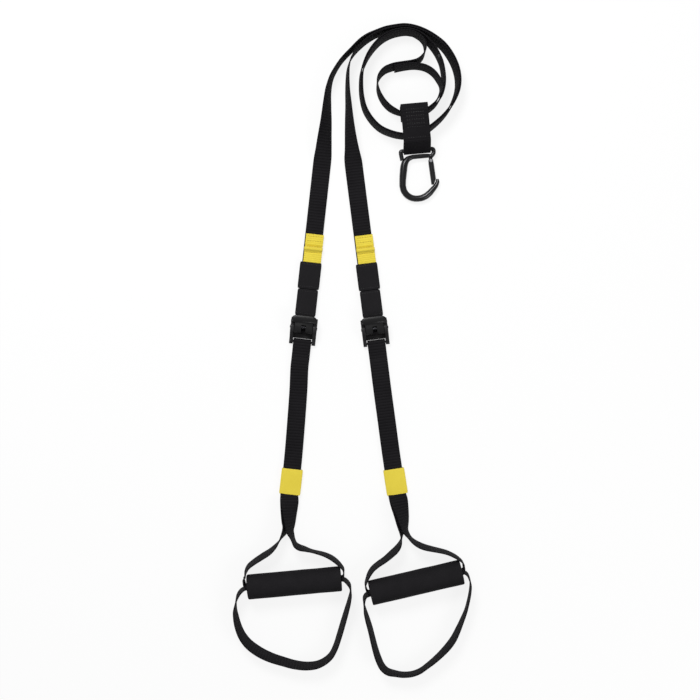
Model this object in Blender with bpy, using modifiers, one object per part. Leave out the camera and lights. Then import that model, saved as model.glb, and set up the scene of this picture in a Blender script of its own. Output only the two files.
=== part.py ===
"""Suspension trainer, laid out flat on a floor with its spare webbing coiled.

One black strap runs from the left cam buckle up its leg, round the coil, through the loop of the
anchor tab and back to the right cam buckle. A carabiner hangs on the anchor tab. Below each buckle a
handle strap splits into two arms and runs through the tube of a foam grip, beside a foot loop.
All lengths are in metres. +Y points from the handles to the coil, and +Z up from the floor.
"""
import math

import bmesh
import bpy
import numpy
from mathutils import Matrix, Vector

# Webbing
WEB_W = 0.0254              # width of the main, handle and foot webbing
WEB_T = 0.0018              # its thickness
LAYER_GAP = 0.0006          # between two layers that lie face to face
PITCH = WEB_T + LAYER_GAP
SEAT_GAP = 0.0003           # between pieces that touch
TWIST_GAP = 0.0028          # added between two layers where they twist together
FLAT_LIFT = 0.0015          # the flat legs lie this high, on the wall of the sleeves round them
FLAT_STEP = 0.0075          # spacing of the cross-sections along a strap

# Anchor tab
TAB_W = 0.0381
TAB_T = 0.0020
TAB_LENGTH = 0.0626         # from the carabiner's crossbar to the end of the top loop
TAB_LOOP = 0.0192           # length of the open loop at the top
TAB_LAYER_GAP = 0.0004
TAB_DROP_Y = 0.0089         # the tab drops to the carabiner from here
TAB_SLOPES = (58.9, 71.4)   # degrees, of the upper and the lower layer of that drop
TAB_BEND = 0.0028           # how far each of its corners is rounded
SEAM_GAP = 0.0005           # half the gap between the webbing's ends, under the seam
LOOP_LIFT = 0.0024          # the strap inside the loop rests on the loop's lower layer
ANCHOR_AT = (0.0907, 0.2845)
ANCHOR_TURN = 5.0           # degrees

# Carabiner
EYE_R = 0.0030              # crossbar that the tab wraps
EYE_Z = 0.0060
EYE_HALF = 0.0233           # half the distance between the eye's side bars
EYE_DROP = 0.0130           # the side bars reach this far down into the shoulders
BODY_R = 0.0048             # thickest radius of the body
GATE_R = 0.0039
CARABINER_HALF = 0.0251     # half the width of its centreline, at the nose
CARABINER_LENGTH = 0.0684   # from the crossbar to the centreline of the bow
CARABINER_TIP = 1.0         # degrees, so that the bow rests on the floor
GATE_X = 0.0180             # the gate's rivet, from the crossbar's middle
GATE_Y = -0.0169
GATE_END_GAP = 0.0014       # between the gate's end and the height where the nose starts
GATE_LEAN = 3.0             # degrees that the shut gate leans out to the nose
GATE_END_ROUND = 0.0005
GATE_BORE_R = 0.0014
GATE_WIRE_R = 0.00022
GATE_SPRING_LENGTH = 0.0125
GATE_SPRING_TURNS = 8
PLUNGER_LENGTH = 0.0040
TONGUE_T = 0.0030
TONGUE_W = 0.0050
EYE_LEAN = 0.0012
RIVET_R = 0.0014
RIVET_HEAD_R = 0.0022
RIVET_HEAD_T = 0.0004

# Cam buckle, sleeves and adjusting tab, along each leg from the buckle's middle
FLOOR_GAP = 0.0002          # the lowest face of what lies flat
BUCKLE_SIDE_GAP = 0.0007    # between the webbing and the buckle's walls
WALL_T = 0.0052             # side wall of the buckle
BUCKLE_W = WEB_W + (BUCKLE_SIDE_GAP + WALL_T) * 2
BUCKLE_TOP = 0.0185
BUCKLE_FOOT = -0.0195
RAIL_FLAT_START = -0.0020   # the wall is highest from here
RAIL_FLAT_END = 0.0070      # to here
RAIL_NECK = 0.0098
RAIL_STEP = 0.0044
RAIL_ROUND = 0.0016
LIP_Z = 0.0088              # height of the wall at its upper end
FOOT_Z = 0.0072             # height of the wall at its foot
PLATE_T = 0.0016            # base plate
PLATE_START = -0.0108
PLATE_INSET = 0.0004        # of its edges, from the walls' edges
ROLLER_R = 0.0014
ROLLER_Y = -0.0010
REAR_BAR_R = 0.0017
REAR_BAR_Y = -0.0155
WRAP_GAP = 0.00035          # between a bar and the webbing round it
PIVOT_Y = 0.0045
DRUM_R = 0.0032
DRUM_GAP = 0.0004           # between the cam's teeth and the webbing
PIN_R = 0.0015
PIN_HEAD_R = 0.0021
PIN_HEAD_T = 0.0004
PIN_MARGIN = 0.0016         # of wall over the pin
TOOTH_H = 0.0005
TOOTH_PITCH = 24.0          # degrees
TEETH = 5
LEVER_BACK = -0.0035
LEVER_STEP = 0.0108         # the lever is full width from here to its tip
LEVER_TIP = 0.0214
LEVER_HEIGHT = 0.0040       # top of the lever's block over the pin
LEVER_CHIN = 0.0008
THUMB_UNDER = 0.0018        # underside of the thumb plate over the pin
THUMB_T = 0.0024
THUMB_ROUND = 0.0006
THUMB_CORNER = 0.0075       # corners of the plate, seen from above
THUMB_CROWN = 0.0007        # rise of the plate's middle
THUMB_CROWN_INSET = 0.0040
THUMB_RISE = 5.0            # degrees that the thumb plate slopes up
SPRING_R = 0.0025
WIRE_R = 0.00035
SPRING_TURNS = 4
SPRING_PITCH = 0.00125
SLEEVE_START = 0.0217
DROP_START = 0.0080         # inside the sleeve, where the leg starts down to the roller
DROP_END = 0.0050           # outside it, where it reaches the roller's height
STRAP_BEND = 0.0080         # how far the corners of folded webbing are rounded
SLEEVE_END = 0.0590
KEEPER_GAP = 0.0010
SLEEVE_W = 0.0290
KEEPER_END = 0.0975
KEEPER_W = 0.0305
WALL_CLOTH = 0.0009         # thickness of a sleeve's wall
TAB_END = 0.1378
PULL_W = 0.0262
PULL_T = 0.0022
PULL_ASIDE = 0.0008         # the yellow tab's middle, beside the leg's
RIDGE_AT = 0.1190
RIDGE_H = 0.0030
RIDGE_HALF = 0.0040
TUCK = 0.0060               # length of the yellow tab inside the keeper
STRAP_END_AT = 0.0700       # the leg's fixed webbing ends here, inside the keeper
LEG_MARKS = (0.1000, 0.1600, 0.2160, 0.2360)
PAIR_START = 0.0400         # the handle strap's two layers lie together from here down
PAIR_LEAD = 0.0120          # and straight for this far
FOLD_LAP = 0.0060           # the fold round the bar runs this far into them
FOLD_T = 0.0020
FOLD_W = 0.0258
LABEL_LENGTH = 0.0360
LABEL_W = 0.0300
LABEL_WALL = 0.0010

# Grip
GRIP_LENGTH = 0.1320
GRIP_R = 0.0175
TUBE_R = 0.0152
TUBE_BORE_R = 0.0137
STRAP_ASIDE = 0.0013        # the two straps in the tube lie this far each side of its axis
TUBE_INSET = 0.0010         # the handle strap is straight from here inside the tube's end
TUBE_LEAD = 0.0030          # the foot loop is straight to here outside it

FACETS = 32
FINE_FACETS = 16
CUT = 0.0010                # overrun of every cutter past the face that it cuts
MERGE = 0.000001
DENSE_STEP = 0.0006         # spacing of the points that a smooth route is worked out at
COIL_STEP = 0.0030          # spacing of the points that the coil's two layers are shifted from
APART = 0.0220              # stretches of a strap further apart along it than this may touch
SAG = 0.0001                # how far a chord of a bend may stray from it
MAX_BEND = 0.35             # radians between two cross-sections
MAX_TWIST = 9.0             # degrees between them

# Routes of the webbing, chosen by hand: x, y, then tilt in degrees and lift off the floor where they
# aren't zero. Tilt 0 stands the strap on its edge, and 90 lays it flat.
COIL_PAIR = [
    (0.0381, 0.4491), (0.0451, 0.4516), (0.0589, 0.4544), (0.0728, 0.4559), (0.0864, 0.4539),
    (0.0999, 0.4488), (0.1137, 0.4405), (0.1273, 0.4292), (0.1393, 0.4120), (0.1461, 0.3950),
    (0.1482, 0.3793), (0.1464, 0.3651), (0.1393, 0.3477), (0.1322, 0.3367), (0.1222, 0.3255),
    (0.1060, 0.3123), (0.0967, 0.3073), (0.0874, 0.3044), (0.0768, 0.3029), (0.0663, 0.3034),
    (0.0522, 0.3069), (0.0381, 0.3136), (0.0262, 0.3251), (0.0168, 0.3407), (0.0126, 0.3573),
    (0.0113, 0.3737), (0.0123, 0.3921), (0.0157, 0.4042), (0.0218, 0.4170), (0.0299, 0.4285),
    (0.0399, 0.4384), (0.0521, 0.4456), (0.0640, 0.4491), (0.0754, 0.4503), (0.0853, 0.4486),
]
RING = [
    (0.0927, 0.4469), (0.1006, 0.4412), (0.1086, 0.4329), (0.1151, 0.4245), (0.1202, 0.4155),
    (0.1245, 0.4049), (0.1272, 0.3907), (0.1279, 0.3793), (0.1268, 0.3680), (0.1236, 0.3573, 0, 0.0008),
    (0.1174, 0.3474, 0, 0.0017), (0.1109, 0.3413, 0, 0.0024), (0.1043, 0.3369, 0, 0.0024),
    (0.0952, 0.3328, 0, 0.0024), (0.0853, 0.3310, 0, 0.0024), (0.0754, 0.3319, 0, 0.0024),
    (0.0654, 0.3350, 0, 0.0024), (0.0583, 0.3383, 0, 0.0016), (0.0518, 0.3424, 0, 0.0008),
    (0.0461, 0.3478), (0.0407, 0.3552), (0.0366, 0.3637), (0.0345, 0.3722), (0.0347, 0.3813),
    (0.0387, 0.3898), (0.0454, 0.3961), (0.0526, 0.3992), (0.0589, 0.4011), (0.0729, 0.4036),
    (0.0839, 0.4056), (0.0913, 0.4083), (0.0971, 0.4134), (0.1008, 0.4199), (0.1019, 0.4273),
    (0.1005, 0.4344), (0.0958, 0.4407), (0.0900, 0.4448),
]
LOCKING_LOOP = [
    (0.0582, 0.3982), (0.0734, 0.4008), (0.0839, 0.4018), (0.0924, 0.4013), (0.1009, 0.3994),
    (0.1087, 0.3955), (0.1154, 0.3896), (0.1208, 0.3819), (0.1241, 0.3756), (0.1248, 0.3694),
    (0.1231, 0.3630), (0.1199, 0.3566, 0, 0.0008), (0.1155, 0.3494, 0, 0.0017), (0.1091, 0.3434, 0, 0.0024),
    (0.1028, 0.3393, 0, 0.0024), (0.0947, 0.3355, 0, 0.0024), (0.0881, 0.3340, 0, 0.0024),
]
LEFT_SHOULDER = [
    (0.0310, 0.4476), (0.0207, 0.4432), (0.0103, 0.4364), (-0.0035, 0.4229), (-0.0154, 0.4103),
    (-0.0240, 0.3978), (-0.0304, 0.3850, 8), (-0.0346, 0.3681, 18), (-0.0365, 0.3470, 30),
    (-0.0378, 0.3258, 44), (-0.0398, 0.3046, 58), (-0.0417, 0.2835, 74, 0.0006),
]
RIGHT_SHOULDER = [
    (0.0309, 0.4448), (0.0200, 0.4378), (0.0107, 0.4296), (0.0022, 0.4201), (-0.0036, 0.4103),
    (-0.0066, 0.3992), (-0.0076, 0.3879), (-0.0076, 0.3681, -8), (-0.0063, 0.3470, -20),
    (-0.0052, 0.3258, -34), (-0.0036, 0.3046, -48), (-0.0014, 0.2835, -68, 0.0006),
]
SIDES = {
    "left": {
        "buckle_at": (-0.0701, 0.0286),
        "buckle_turn": -6.32,
        "label_at": (-0.0877, -0.1848),
        "label_turn": -6.4,
        "grip_at": (-0.0824, -0.3256),
        "grip_turn": 5.25,
        "pair": [
            (-0.0773, -0.0552, 90, 0.0015), (-0.0803, -0.0978, 90, 0.0015),
            (-0.0837, -0.1404, 90, 0.0015), (-0.0857, -0.1617, 90, 0.0015),
            (-0.0881, -0.1844, 90, 0.0015), (-0.0901, -0.2043, 90, 0.0015),
            (-0.0904, -0.2101, 84, 0.0013), (-0.0909, -0.2185, 70, 0.0008),
            (-0.0913, -0.2251, 57, 0.0004), (-0.0916, -0.2313, 45), (-0.0918, -0.2408, 26),
            (-0.0919, -0.2471, 14),
        ],
        "west_arm": [
            (-0.0956, -0.2541, 5), (-0.0990, -0.2603),
            (-0.1028, -0.2662), (-0.1082, -0.2739), (-0.1169, -0.2824), (-0.1282, -0.2897),
            (-0.1395, -0.2972), (-0.1472, -0.3035, 0, 0.0008), (-0.1522, -0.3106, 0, 0.0020),
            (-0.1546, -0.3190, 0, 0.0034),
        ],
        "east_arm": [
            (-0.0882, -0.2541, 5), (-0.0861, -0.2603),
            (-0.0841, -0.2662), (-0.0813, -0.2727, 3), (-0.0760, -0.2765, 5),
            (-0.0676, -0.2789, -2), (-0.0591, -0.2814, -8), (-0.0436, -0.2855, -8),
            (-0.0366, -0.2880, -4), (-0.0295, -0.2916, 0, 0.0008), (-0.0225, -0.2965, 0, 0.0020),
            (-0.0163, -0.3021, 0, 0.0034),
        ],
        "foot_loop": [
            (-0.1553, -0.3357, 0, 0.0045), (-0.1592, -0.3395, 0, 0.0038), (-0.1630, -0.3458, -2, 0.0028),
            (-0.1651, -0.3536, -5, 0.0016), (-0.1663, -0.3648, 0, 0.0006), (-0.1648, -0.3761),
            (-0.1616, -0.3888, 2), (-0.1564, -0.4008, 5), (-0.1486, -0.4114, 8),
            (-0.1395, -0.4191, 8), (-0.1282, -0.4262, 8), (-0.1141, -0.4325, 6),
            (-0.0986, -0.4374, 3), (-0.0831, -0.4417, 2), (-0.0662, -0.4438), (-0.0507, -0.4421),
            (-0.0394, -0.4367), (-0.0309, -0.4290), (-0.0246, -0.4170, 2), (-0.0190, -0.4001, 3),
            (-0.0140, -0.3832, 3), (-0.0091, -0.3663, 2, 0.0006), (-0.0049, -0.3507, 0, 0.0016),
            (-0.0030, -0.3395, 0, 0.0028), (-0.0042, -0.3303, 0, 0.0038),
            (-0.0084, -0.3243, 0, 0.0045),
        ],
    },
    "right": {
        "buckle_at": (0.0312, 0.0272),
        "buckle_turn": 7.27,
        "label_at": (0.0603, -0.1847),
        "label_turn": 8.8,
        "grip_at": (0.0887, -0.3251),
        "grip_turn": 13.1,
        "pair": [
            (0.0417, -0.0552, 90, 0.0015), (0.0475, -0.0978, 90, 0.0015),
            (0.0532, -0.1404, 90, 0.0015), (0.0563, -0.1617, 90, 0.0015),
            (0.0598, -0.1844, 90, 0.0015), (0.0629, -0.2043, 90, 0.0015),
            (0.0638, -0.2101, 84, 0.0013), (0.0651, -0.2185, 70, 0.0008),
            (0.0663, -0.2251, 57, 0.0004), (0.0673, -0.2313, 45), (0.0686, -0.2408, 26),
            (0.0694, -0.2471, 14),
        ],
        "west_arm": [
            (0.0690, -0.2541, 5), (0.0689, -0.2607), (0.0677, -0.2676),
            (0.0652, -0.2739), (0.0607, -0.2800), (0.0536, -0.2866), (0.0452, -0.2937),
            (0.0360, -0.3000), (0.0282, -0.3064, 0, 0.0008), (0.0226, -0.3127, 0, 0.0020),
            (0.0188, -0.3190, 0, 0.0034),
        ],
        "east_arm": [
            (0.0748, -0.2541, 5), (0.0784, -0.2602), (0.0821, -0.2653),
            (0.0867, -0.2693), (0.0931, -0.2732), (0.1015, -0.2765), (0.1114, -0.2789),
            (0.1227, -0.2813), (0.1325, -0.2838, 0, 0.0008), (0.1410, -0.2873, 0, 0.0020),
            (0.1488, -0.2916, 0, 0.0034),
        ],
        "foot_loop": [
            (0.0191, -0.3430, 0, 0.0044), (0.0160, -0.3479, 0, 0.0034), (0.0153, -0.3550, 0, 0.0022),
            (0.0167, -0.3648, 0, 0.0010), (0.0198, -0.3761, 3), (0.0240, -0.3902, 5),
            (0.0282, -0.4071, 6.5), (0.0318, -0.4212, 7), (0.0360, -0.4339, 8),
            (0.0416, -0.4452, 6), (0.0487, -0.4515, 1), (0.0593, -0.4543, -4),
            (0.0705, -0.4560, -5), (0.0832, -0.4550, -5), (0.0945, -0.4508, -6),
            (0.1044, -0.4438, -6), (0.1142, -0.4360, -4), (0.1241, -0.4269, -2),
            (0.1340, -0.4163, 2), (0.1417, -0.4057, 2), (0.1480, -0.3930), (0.1537, -0.3796, -4),
            (0.1586, -0.3670, -7, 0.0006), (0.1621, -0.3536, -7, 0.0014),
            (0.1647, -0.3395, -6, 0.0024), (0.1654, -0.3268, -3, 0.0034),
            (0.1633, -0.3190, 0, 0.0042), (0.1608, -0.3140, 0, 0.0046),
        ],
    },
}
# The handle strap's bend outside each end of a grip: beyond the tube's end, across from its axis, and
# its rise as a share of the height in the tube
ARM_ENTRY = [(0.0050, 0.0125, 0.83), (0.0053, 0.0070, 0.94), (0.0043, 0.0030, 1.0)]

# The carabiner's body, from the bar behind the eye round to the nose: across, down and thickness
BODY_SPINE_SHARES = [
    (0.817, -0.146, 0.52), (0.598, -0.137, 0.60), (0.319, -0.134, 0.67), (0.000, -0.134, 0.67),
    (-0.319, -0.138, 0.69), (-0.578, -0.172, 0.86), (-0.757, -0.251, 1.05), (-0.849, -0.373, 1.10),
    (-0.908, -0.490, 1.06), (-0.956, -0.607, 1.00), (-0.980, -0.719, 0.99), (-0.924, -0.826, 0.98),
    (-0.749, -0.921, 0.96), (-0.498, -0.980, 0.94), (-0.219, -1.000, 0.93), (0.060, -0.991, 0.95),
    (0.319, -0.953, 0.97), (0.542, -0.892, 0.92), (0.745, -0.819, 0.82), (0.908, -0.757, 0.66),
    (1.000, -0.684, 0.56), (1.004, -0.632, 0.40),
]

for leftover in list(bpy.data.objects):
    bpy.data.objects.remove(leftover)

PARTS = bpy.data.collections.new("suspension_trainer")
CUTTERS = bpy.data.collections.new("cutters")
for group in (PARTS, CUTTERS):
    bpy.context.scene.collection.children.link(group)


def material(name, colour, roughness, metallic=0.0):
    """A Principled material of one colour."""
    mat = bpy.data.materials.new(name)
    mat.use_nodes = True
    shader = mat.node_tree.nodes["Principled BSDF"]
    shader.inputs["Base Color"].default_value = (*colour, 1.0)
    shader.inputs["Roughness"].default_value = roughness
    shader.inputs["Metallic"].default_value = metallic
    return mat


def add_object(name, data, mat=None, parent=None):
    """A piece of the trainer, in its collection."""
    obj = bpy.data.objects.new(name, data)
    PARTS.objects.link(obj)
    if mat:
        data.materials.append(mat)
    obj.parent = parent
    return obj


def as_cutter(obj):
    """Hides a shape that only cuts, joins or guides another."""
    for group in list(obj.users_collection):
        group.objects.unlink(obj)
    CUTTERS.objects.link(obj)
    obj.hide_render = True
    obj.display_type = "WIRE"
    return obj


def place(name, at, turn=0.0, tip=0.0, parent=None):
    """A frame at a point, tipped about its own X and then turned about Z, in degrees."""
    obj = add_object(name, None, parent=parent)
    obj.location = at
    obj.rotation_euler = (math.radians(tip), 0.0, math.radians(turn))
    return obj


def boolean(obj, other, operation):
    """A live Boolean on obj."""
    mod = obj.modifiers.new(operation.lower(), "BOOLEAN")
    mod.operation = operation
    mod.object = as_cutter(other)
    return obj


def bevel(obj, width, segments=2):
    """Rounds an object's sharp edges."""
    mod = obj.modifiers.new("rounded edges", "BEVEL")
    mod.width = width
    mod.segments = segments
    mod.limit_method = "ANGLE"
    return obj


def from_bmesh(name, bm, mat=None, parent=None):
    """An object with the mesh that a bmesh holds."""
    mesh = bpy.data.meshes.new(name)
    bm.to_mesh(mesh)
    bm.free()
    return add_object(name, mesh, mat, parent)


def box(name, low, high, mat=None, parent=None):
    """A box between two corners."""
    bm = bmesh.new()
    bmesh.ops.create_cube(bm, size=1.0)
    bmesh.ops.scale(bm, vec=Vector(high) - Vector(low), verts=bm.verts)
    bmesh.ops.translate(bm, vec=(Vector(high) + Vector(low)) / 2, verts=bm.verts)
    return from_bmesh(name, bm, mat, parent)


def rod(name, radius, length, at, axis="X", mat=None, parent=None, facets=FACETS):
    """A cylinder about its middle, along X or Z."""
    bm = bmesh.new()
    bmesh.ops.create_cone(
        bm, cap_ends=True, segments=facets, radius1=radius, radius2=radius, depth=length
    )
    if axis == "X":
        bmesh.ops.rotate(bm, matrix=Matrix.Rotation(math.radians(90), 3, "Y"), verts=bm.verts)
    bmesh.ops.translate(bm, vec=at, verts=bm.verts)
    return from_bmesh(name, bm, mat, parent)


def turned(name, profile, mat=None, parent=None, facets=FACETS):
    """A profile of (along, radius) points turned about the X axis; one off the axis is closed."""
    bm = bmesh.new()
    verts = [bm.verts.new((along, 0.0, radius)) for along, radius in profile]
    pairs = list(zip(verts, verts[1:]))
    if profile[0][1] > 0:
        pairs.append((verts[-1], verts[0]))
    for pair in pairs:
        bm.edges.new(pair)
    obj = from_bmesh(name, bm, mat, parent)
    screw = obj.modifiers.new("turned", "SCREW")
    screw.axis = "X"
    screw.steps = screw.render_steps = facets
    screw.use_merge_vertices = True
    screw.merge_threshold = MERGE
    screw.use_normal_calculate = profile[0][1] == 0
    return obj


def outline(name, points, width, mat=None, parent=None, at_x=0.0):
    """A flat outline of (y, z) points with a width along X about at_x."""
    bm = bmesh.new()
    face = bm.faces.new([bm.verts.new((at_x - width / 2, y, z)) for y, z in points])
    grown = bmesh.ops.extrude_face_region(bm, geom=[face])["geom"]
    moved = [item for item in grown if isinstance(item, bmesh.types.BMVert)]
    bmesh.ops.translate(bm, vec=(width, 0.0, 0.0), verts=moved)
    bmesh.ops.recalc_face_normals(bm, faces=bm.faces)
    return from_bmesh(name, bm, mat, parent)


def slab(name, plan, low, thickness, rise, parent=None):
    """A plate with a crowned top and a plan of (x, y) points, sloping up from its first one."""
    bm = bmesh.new()
    face = bm.faces.new([bm.verts.new((x, y, low)) for x, y in plan])
    grown = bmesh.ops.extrude_face_region(bm, geom=[face])["geom"]
    moved = [item for item in grown if isinstance(item, bmesh.types.BMVert)]
    bmesh.ops.translate(bm, vec=(0.0, 0.0, thickness), verts=moved)
    top = [item for item in grown if isinstance(item, bmesh.types.BMFace)]
    bmesh.ops.inset_region(bm, faces=top, thickness=THUMB_CROWN_INSET, depth=0.0)
    bmesh.ops.translate(bm, vec=(0.0, 0.0, THUMB_CROWN), verts=top[0].verts)
    for vert in bm.verts:
        vert.co.z += (vert.co.y - plan[0][1]) * math.tan(math.radians(rise))
    bmesh.ops.recalc_face_normals(bm, faces=bm.faces)
    return from_bmesh(name, bm, parent=parent)


def arc(centre, radius, start, end, steps=8):
    """Points on an arc in a plane, with the angles in degrees."""
    angles = [math.radians(start + (end - start) * i / steps) for i in range(steps + 1)]
    return [(centre[0] + radius * math.cos(a), centre[1] + radius * math.sin(a)) for a in angles]


def rounded(points, radius, steps=3):
    """An open line of points with its inner corners rounded."""
    path = [Vector(points[0])]
    for before, corner, after in zip(points, points[1:], points[2:]):
        before, corner, after = Vector(before), Vector(corner), Vector(after)
        back, ahead = before - corner, after - corner
        cut = min(radius, back.length * 0.45, ahead.length * 0.45)
        start, end = corner + back.normalized() * cut, corner + ahead.normalized() * cut
        for i in range(steps + 1):
            t = i / steps
            path.append(start * (1 - t) ** 2 + corner * 2 * t * (1 - t) + end * t ** 2)
    path.append(Vector(points[-1]))
    return [tuple(p) for p in path]


def strip(name, path, width, thickness, mat=None, parent=None):
    """Webbing that folds in the YZ plane: a path of (y, z) points, spread along X and thickened."""
    bm = bmesh.new()
    verts = [bm.verts.new((-width / 2, y, z)) for y, z in path]
    edges = [bm.edges.new(pair) for pair in zip(verts, verts[1:])]
    spread = bmesh.ops.extrude_edge_only(bm, edges=edges)["geom"]
    moved = [item for item in spread if isinstance(item, bmesh.types.BMVert)]
    bmesh.ops.translate(bm, vec=(width, 0.0, 0.0), verts=moved)
    obj = from_bmesh(name, bm, mat, parent)
    thick = obj.modifiers.new("webbing", "SOLIDIFY")
    thick.thickness = thickness
    thick.offset = 0.0
    thick.use_even_offset = True
    return obj


def sleeve(name, ends, width, tops, wall, mat, parent):
    """A flat sleeve open at both ends, with its height given at its two ends."""
    bm = bmesh.new()
    rings = []
    for y, top in zip(ends, tops):
        for inset in (0.0, wall):
            x, low, high = width / 2 - inset, FLOOR_GAP + inset, top - inset
            corners = ((-x, low), (x, low), (x, high), (-x, high))
            rings.append([bm.verts.new((cx, y, cz)) for cx, cz in corners])
    outer_low, inner_low, outer_high, inner_high = rings
    for i in range(4):
        j = (i + 1) % 4
        for a, b in (
            (outer_low, outer_high), (inner_low, inner_high), (outer_low, inner_low),
            (outer_high, inner_high),
        ):
            bm.faces.new((a[i], a[j], b[j], b[i]))
    bmesh.ops.recalc_face_normals(bm, faces=bm.faces)
    return bevel(from_bmesh(name, bm, mat, parent), wall * 0.4)


def round_line(name, points, radius, mat=None, parent=None, resolution=4):
    """A round bar along (x, y, z, radius share) points, as a closed mesh."""
    curve = bpy.data.curves.new(name, "CURVE")
    curve.dimensions = "3D"
    curve.bevel_depth = radius
    curve.bevel_resolution = resolution
    curve.use_fill_caps = True
    spline = curve.splines.new("POLY")
    spline.points.add(len(points) - 1)
    for point, (x, y, z, share) in zip(spline.points, points):
        point.co = (x, y, z, 1.0)
        point.radius = share
    return meshed(curve, mat, parent)


def meshed(curve, mat, parent):
    """A curve's mesh, with its end caps welded on."""
    drawn = bpy.data.objects.new(curve.name, curve)
    PARTS.objects.link(drawn)
    depsgraph = bpy.context.evaluated_depsgraph_get()
    mesh = bpy.data.meshes.new_from_object(drawn.evaluated_get(depsgraph))
    bm = bmesh.new()
    bm.from_mesh(mesh)
    bmesh.ops.remove_doubles(bm, verts=bm.verts, dist=MERGE)
    bmesh.ops.recalc_face_normals(bm, faces=bm.faces)
    mesh.materials.clear()
    name = curve.name
    bpy.data.objects.remove(drawn)
    return from_bmesh(name, bm, mat, parent)


def filled(points):
    """Route points with the tilt and lift that they leave out."""
    return [tuple(p) + (0.0,) * (4 - len(p)) for p in points]


def turned_back(points):
    """A route walked the other way."""
    return [(x, y, -tilt, lift) for x, y, tilt, lift in reversed(filled(points))]


def smooth_route(points, step=FLAT_STEP):
    """A smooth line through the points of a route, with its stations closer in the bends."""
    points = filled(points)
    plane = [Vector(p[:2]) for p in points]
    plane = [2 * plane[0] - plane[1]] + plane + [2 * plane[-1] - plane[-2]]
    dense, kept = [points[0]], set()
    for i, (start, end) in enumerate(zip(points, points[1:])):
        if start[2] != end[2]:
            kept |= {start, end}
        p0, p1, p2, p3 = plane[i:i + 4]
        t0 = 0.0
        t1 = t0 + (p1 - p0).length ** 0.5
        t2 = t1 + (p2 - p1).length ** 0.5
        t3 = t2 + (p3 - p2).length ** 0.5
        count = max(2, math.ceil((p2 - p1).length / DENSE_STEP))
        line = [p1]
        for k in range(1, count + 1):
            t = t1 + (t2 - t1) * k / count
            a1 = p0 * ((t1 - t) / (t1 - t0)) + p1 * ((t - t0) / (t1 - t0))
            a2 = p1 * ((t2 - t) / (t2 - t1)) + p2 * ((t - t1) / (t2 - t1))
            a3 = p2 * ((t3 - t) / (t3 - t2)) + p3 * ((t - t2) / (t3 - t2))
            b1 = a1 * ((t2 - t) / (t2 - t0)) + a2 * ((t - t0) / (t2 - t0))
            b2 = a2 * ((t3 - t) / (t3 - t1)) + a3 * ((t - t1) / (t3 - t1))
            line.append(b1 * ((t2 - t) / (t2 - t1)) + b2 * ((t - t1) / (t2 - t1)))
        lengths = [(b - a).length for a, b in zip(line, line[1:])]
        for k, at in enumerate(line[1:], 1):
            share = sum(lengths[:k]) / sum(lengths)
            rest = [a + (b - a) * share for a, b in zip(start[2:], end[2:])]
            dense.append((at.x, at.y, *rest) if k < count else end)
    stations, run, bend = [dense[0]], 0.0, 0.0
    for before, here, after in zip(dense, dense[1:], dense[2:]):
        back = Vector(here[:2]) - Vector(before[:2])
        ahead = Vector(after[:2]) - Vector(here[:2])
        run += back.length
        bend += abs(back.angle(ahead, 0.0))
        twist = abs(here[2] - stations[-1][2])
        far = run >= step or run * bend > 8 * SAG or bend > MAX_BEND or twist > MAX_TWIST
        if far or here in kept:
            stations.append(here)
            run, bend = 0.0, 0.0
    return stations + [dense[-1]]


def shifted(points, aside, twist_gap=0.0):
    """A route's layer that lies aside of it, left of travel or up, and further off where it twists."""
    points = filled(points)
    moved = []
    for before, here, after in zip(points[:1] + points, points, points[1:] + points[-1:]):
        ahead = (Vector(after[:2]) - Vector(before[:2])).normalized()
        x, y, tilt, lift = here
        off = aside + twist_gap * min(1.0, 6 * abs(math.cos(math.radians(tilt))))
        sideways = off * math.cos(math.radians(tilt))
        rise = (PITCH / 2 + off) * abs(math.sin(math.radians(tilt)))
        moved.append((x - ahead.y * sideways, y + ahead.x * sideways, tilt, lift + rise))
    return moved


def resting(points, width=WEB_W, thickness=WEB_T):
    """Route points as (x, y, z, tilt), so that the webbing's lowest edge is at its lift."""
    laid = []
    for x, y, tilt, lift in filled(points):
        lean = math.radians(tilt)
        z = lift + (width * abs(math.cos(lean)) + thickness * abs(math.sin(lean))) / 2
        laid.append((x, y, z, tilt))
    return laid


def webbing(name, laid, mat, parent=None):
    """A strap of webbing along (x, y, z, tilt) points, as a swept curve."""
    curve = bpy.data.curves.new(name, "CURVE")
    curve.dimensions = "3D"
    curve.twist_mode = "Z_UP"
    curve.bevel_mode = "OBJECT"
    curve.bevel_object = WEB_PROFILE
    curve.use_fill_caps = True
    spline = curve.splines.new("POLY")
    spline.points.add(len(laid) - 1)
    for point, (x, y, z, tilt) in zip(spline.points, laid):
        point.co = (x, y, z, 1.0)
        point.tilt = math.radians(tilt)
    return meshed(curve, mat, parent)


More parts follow.
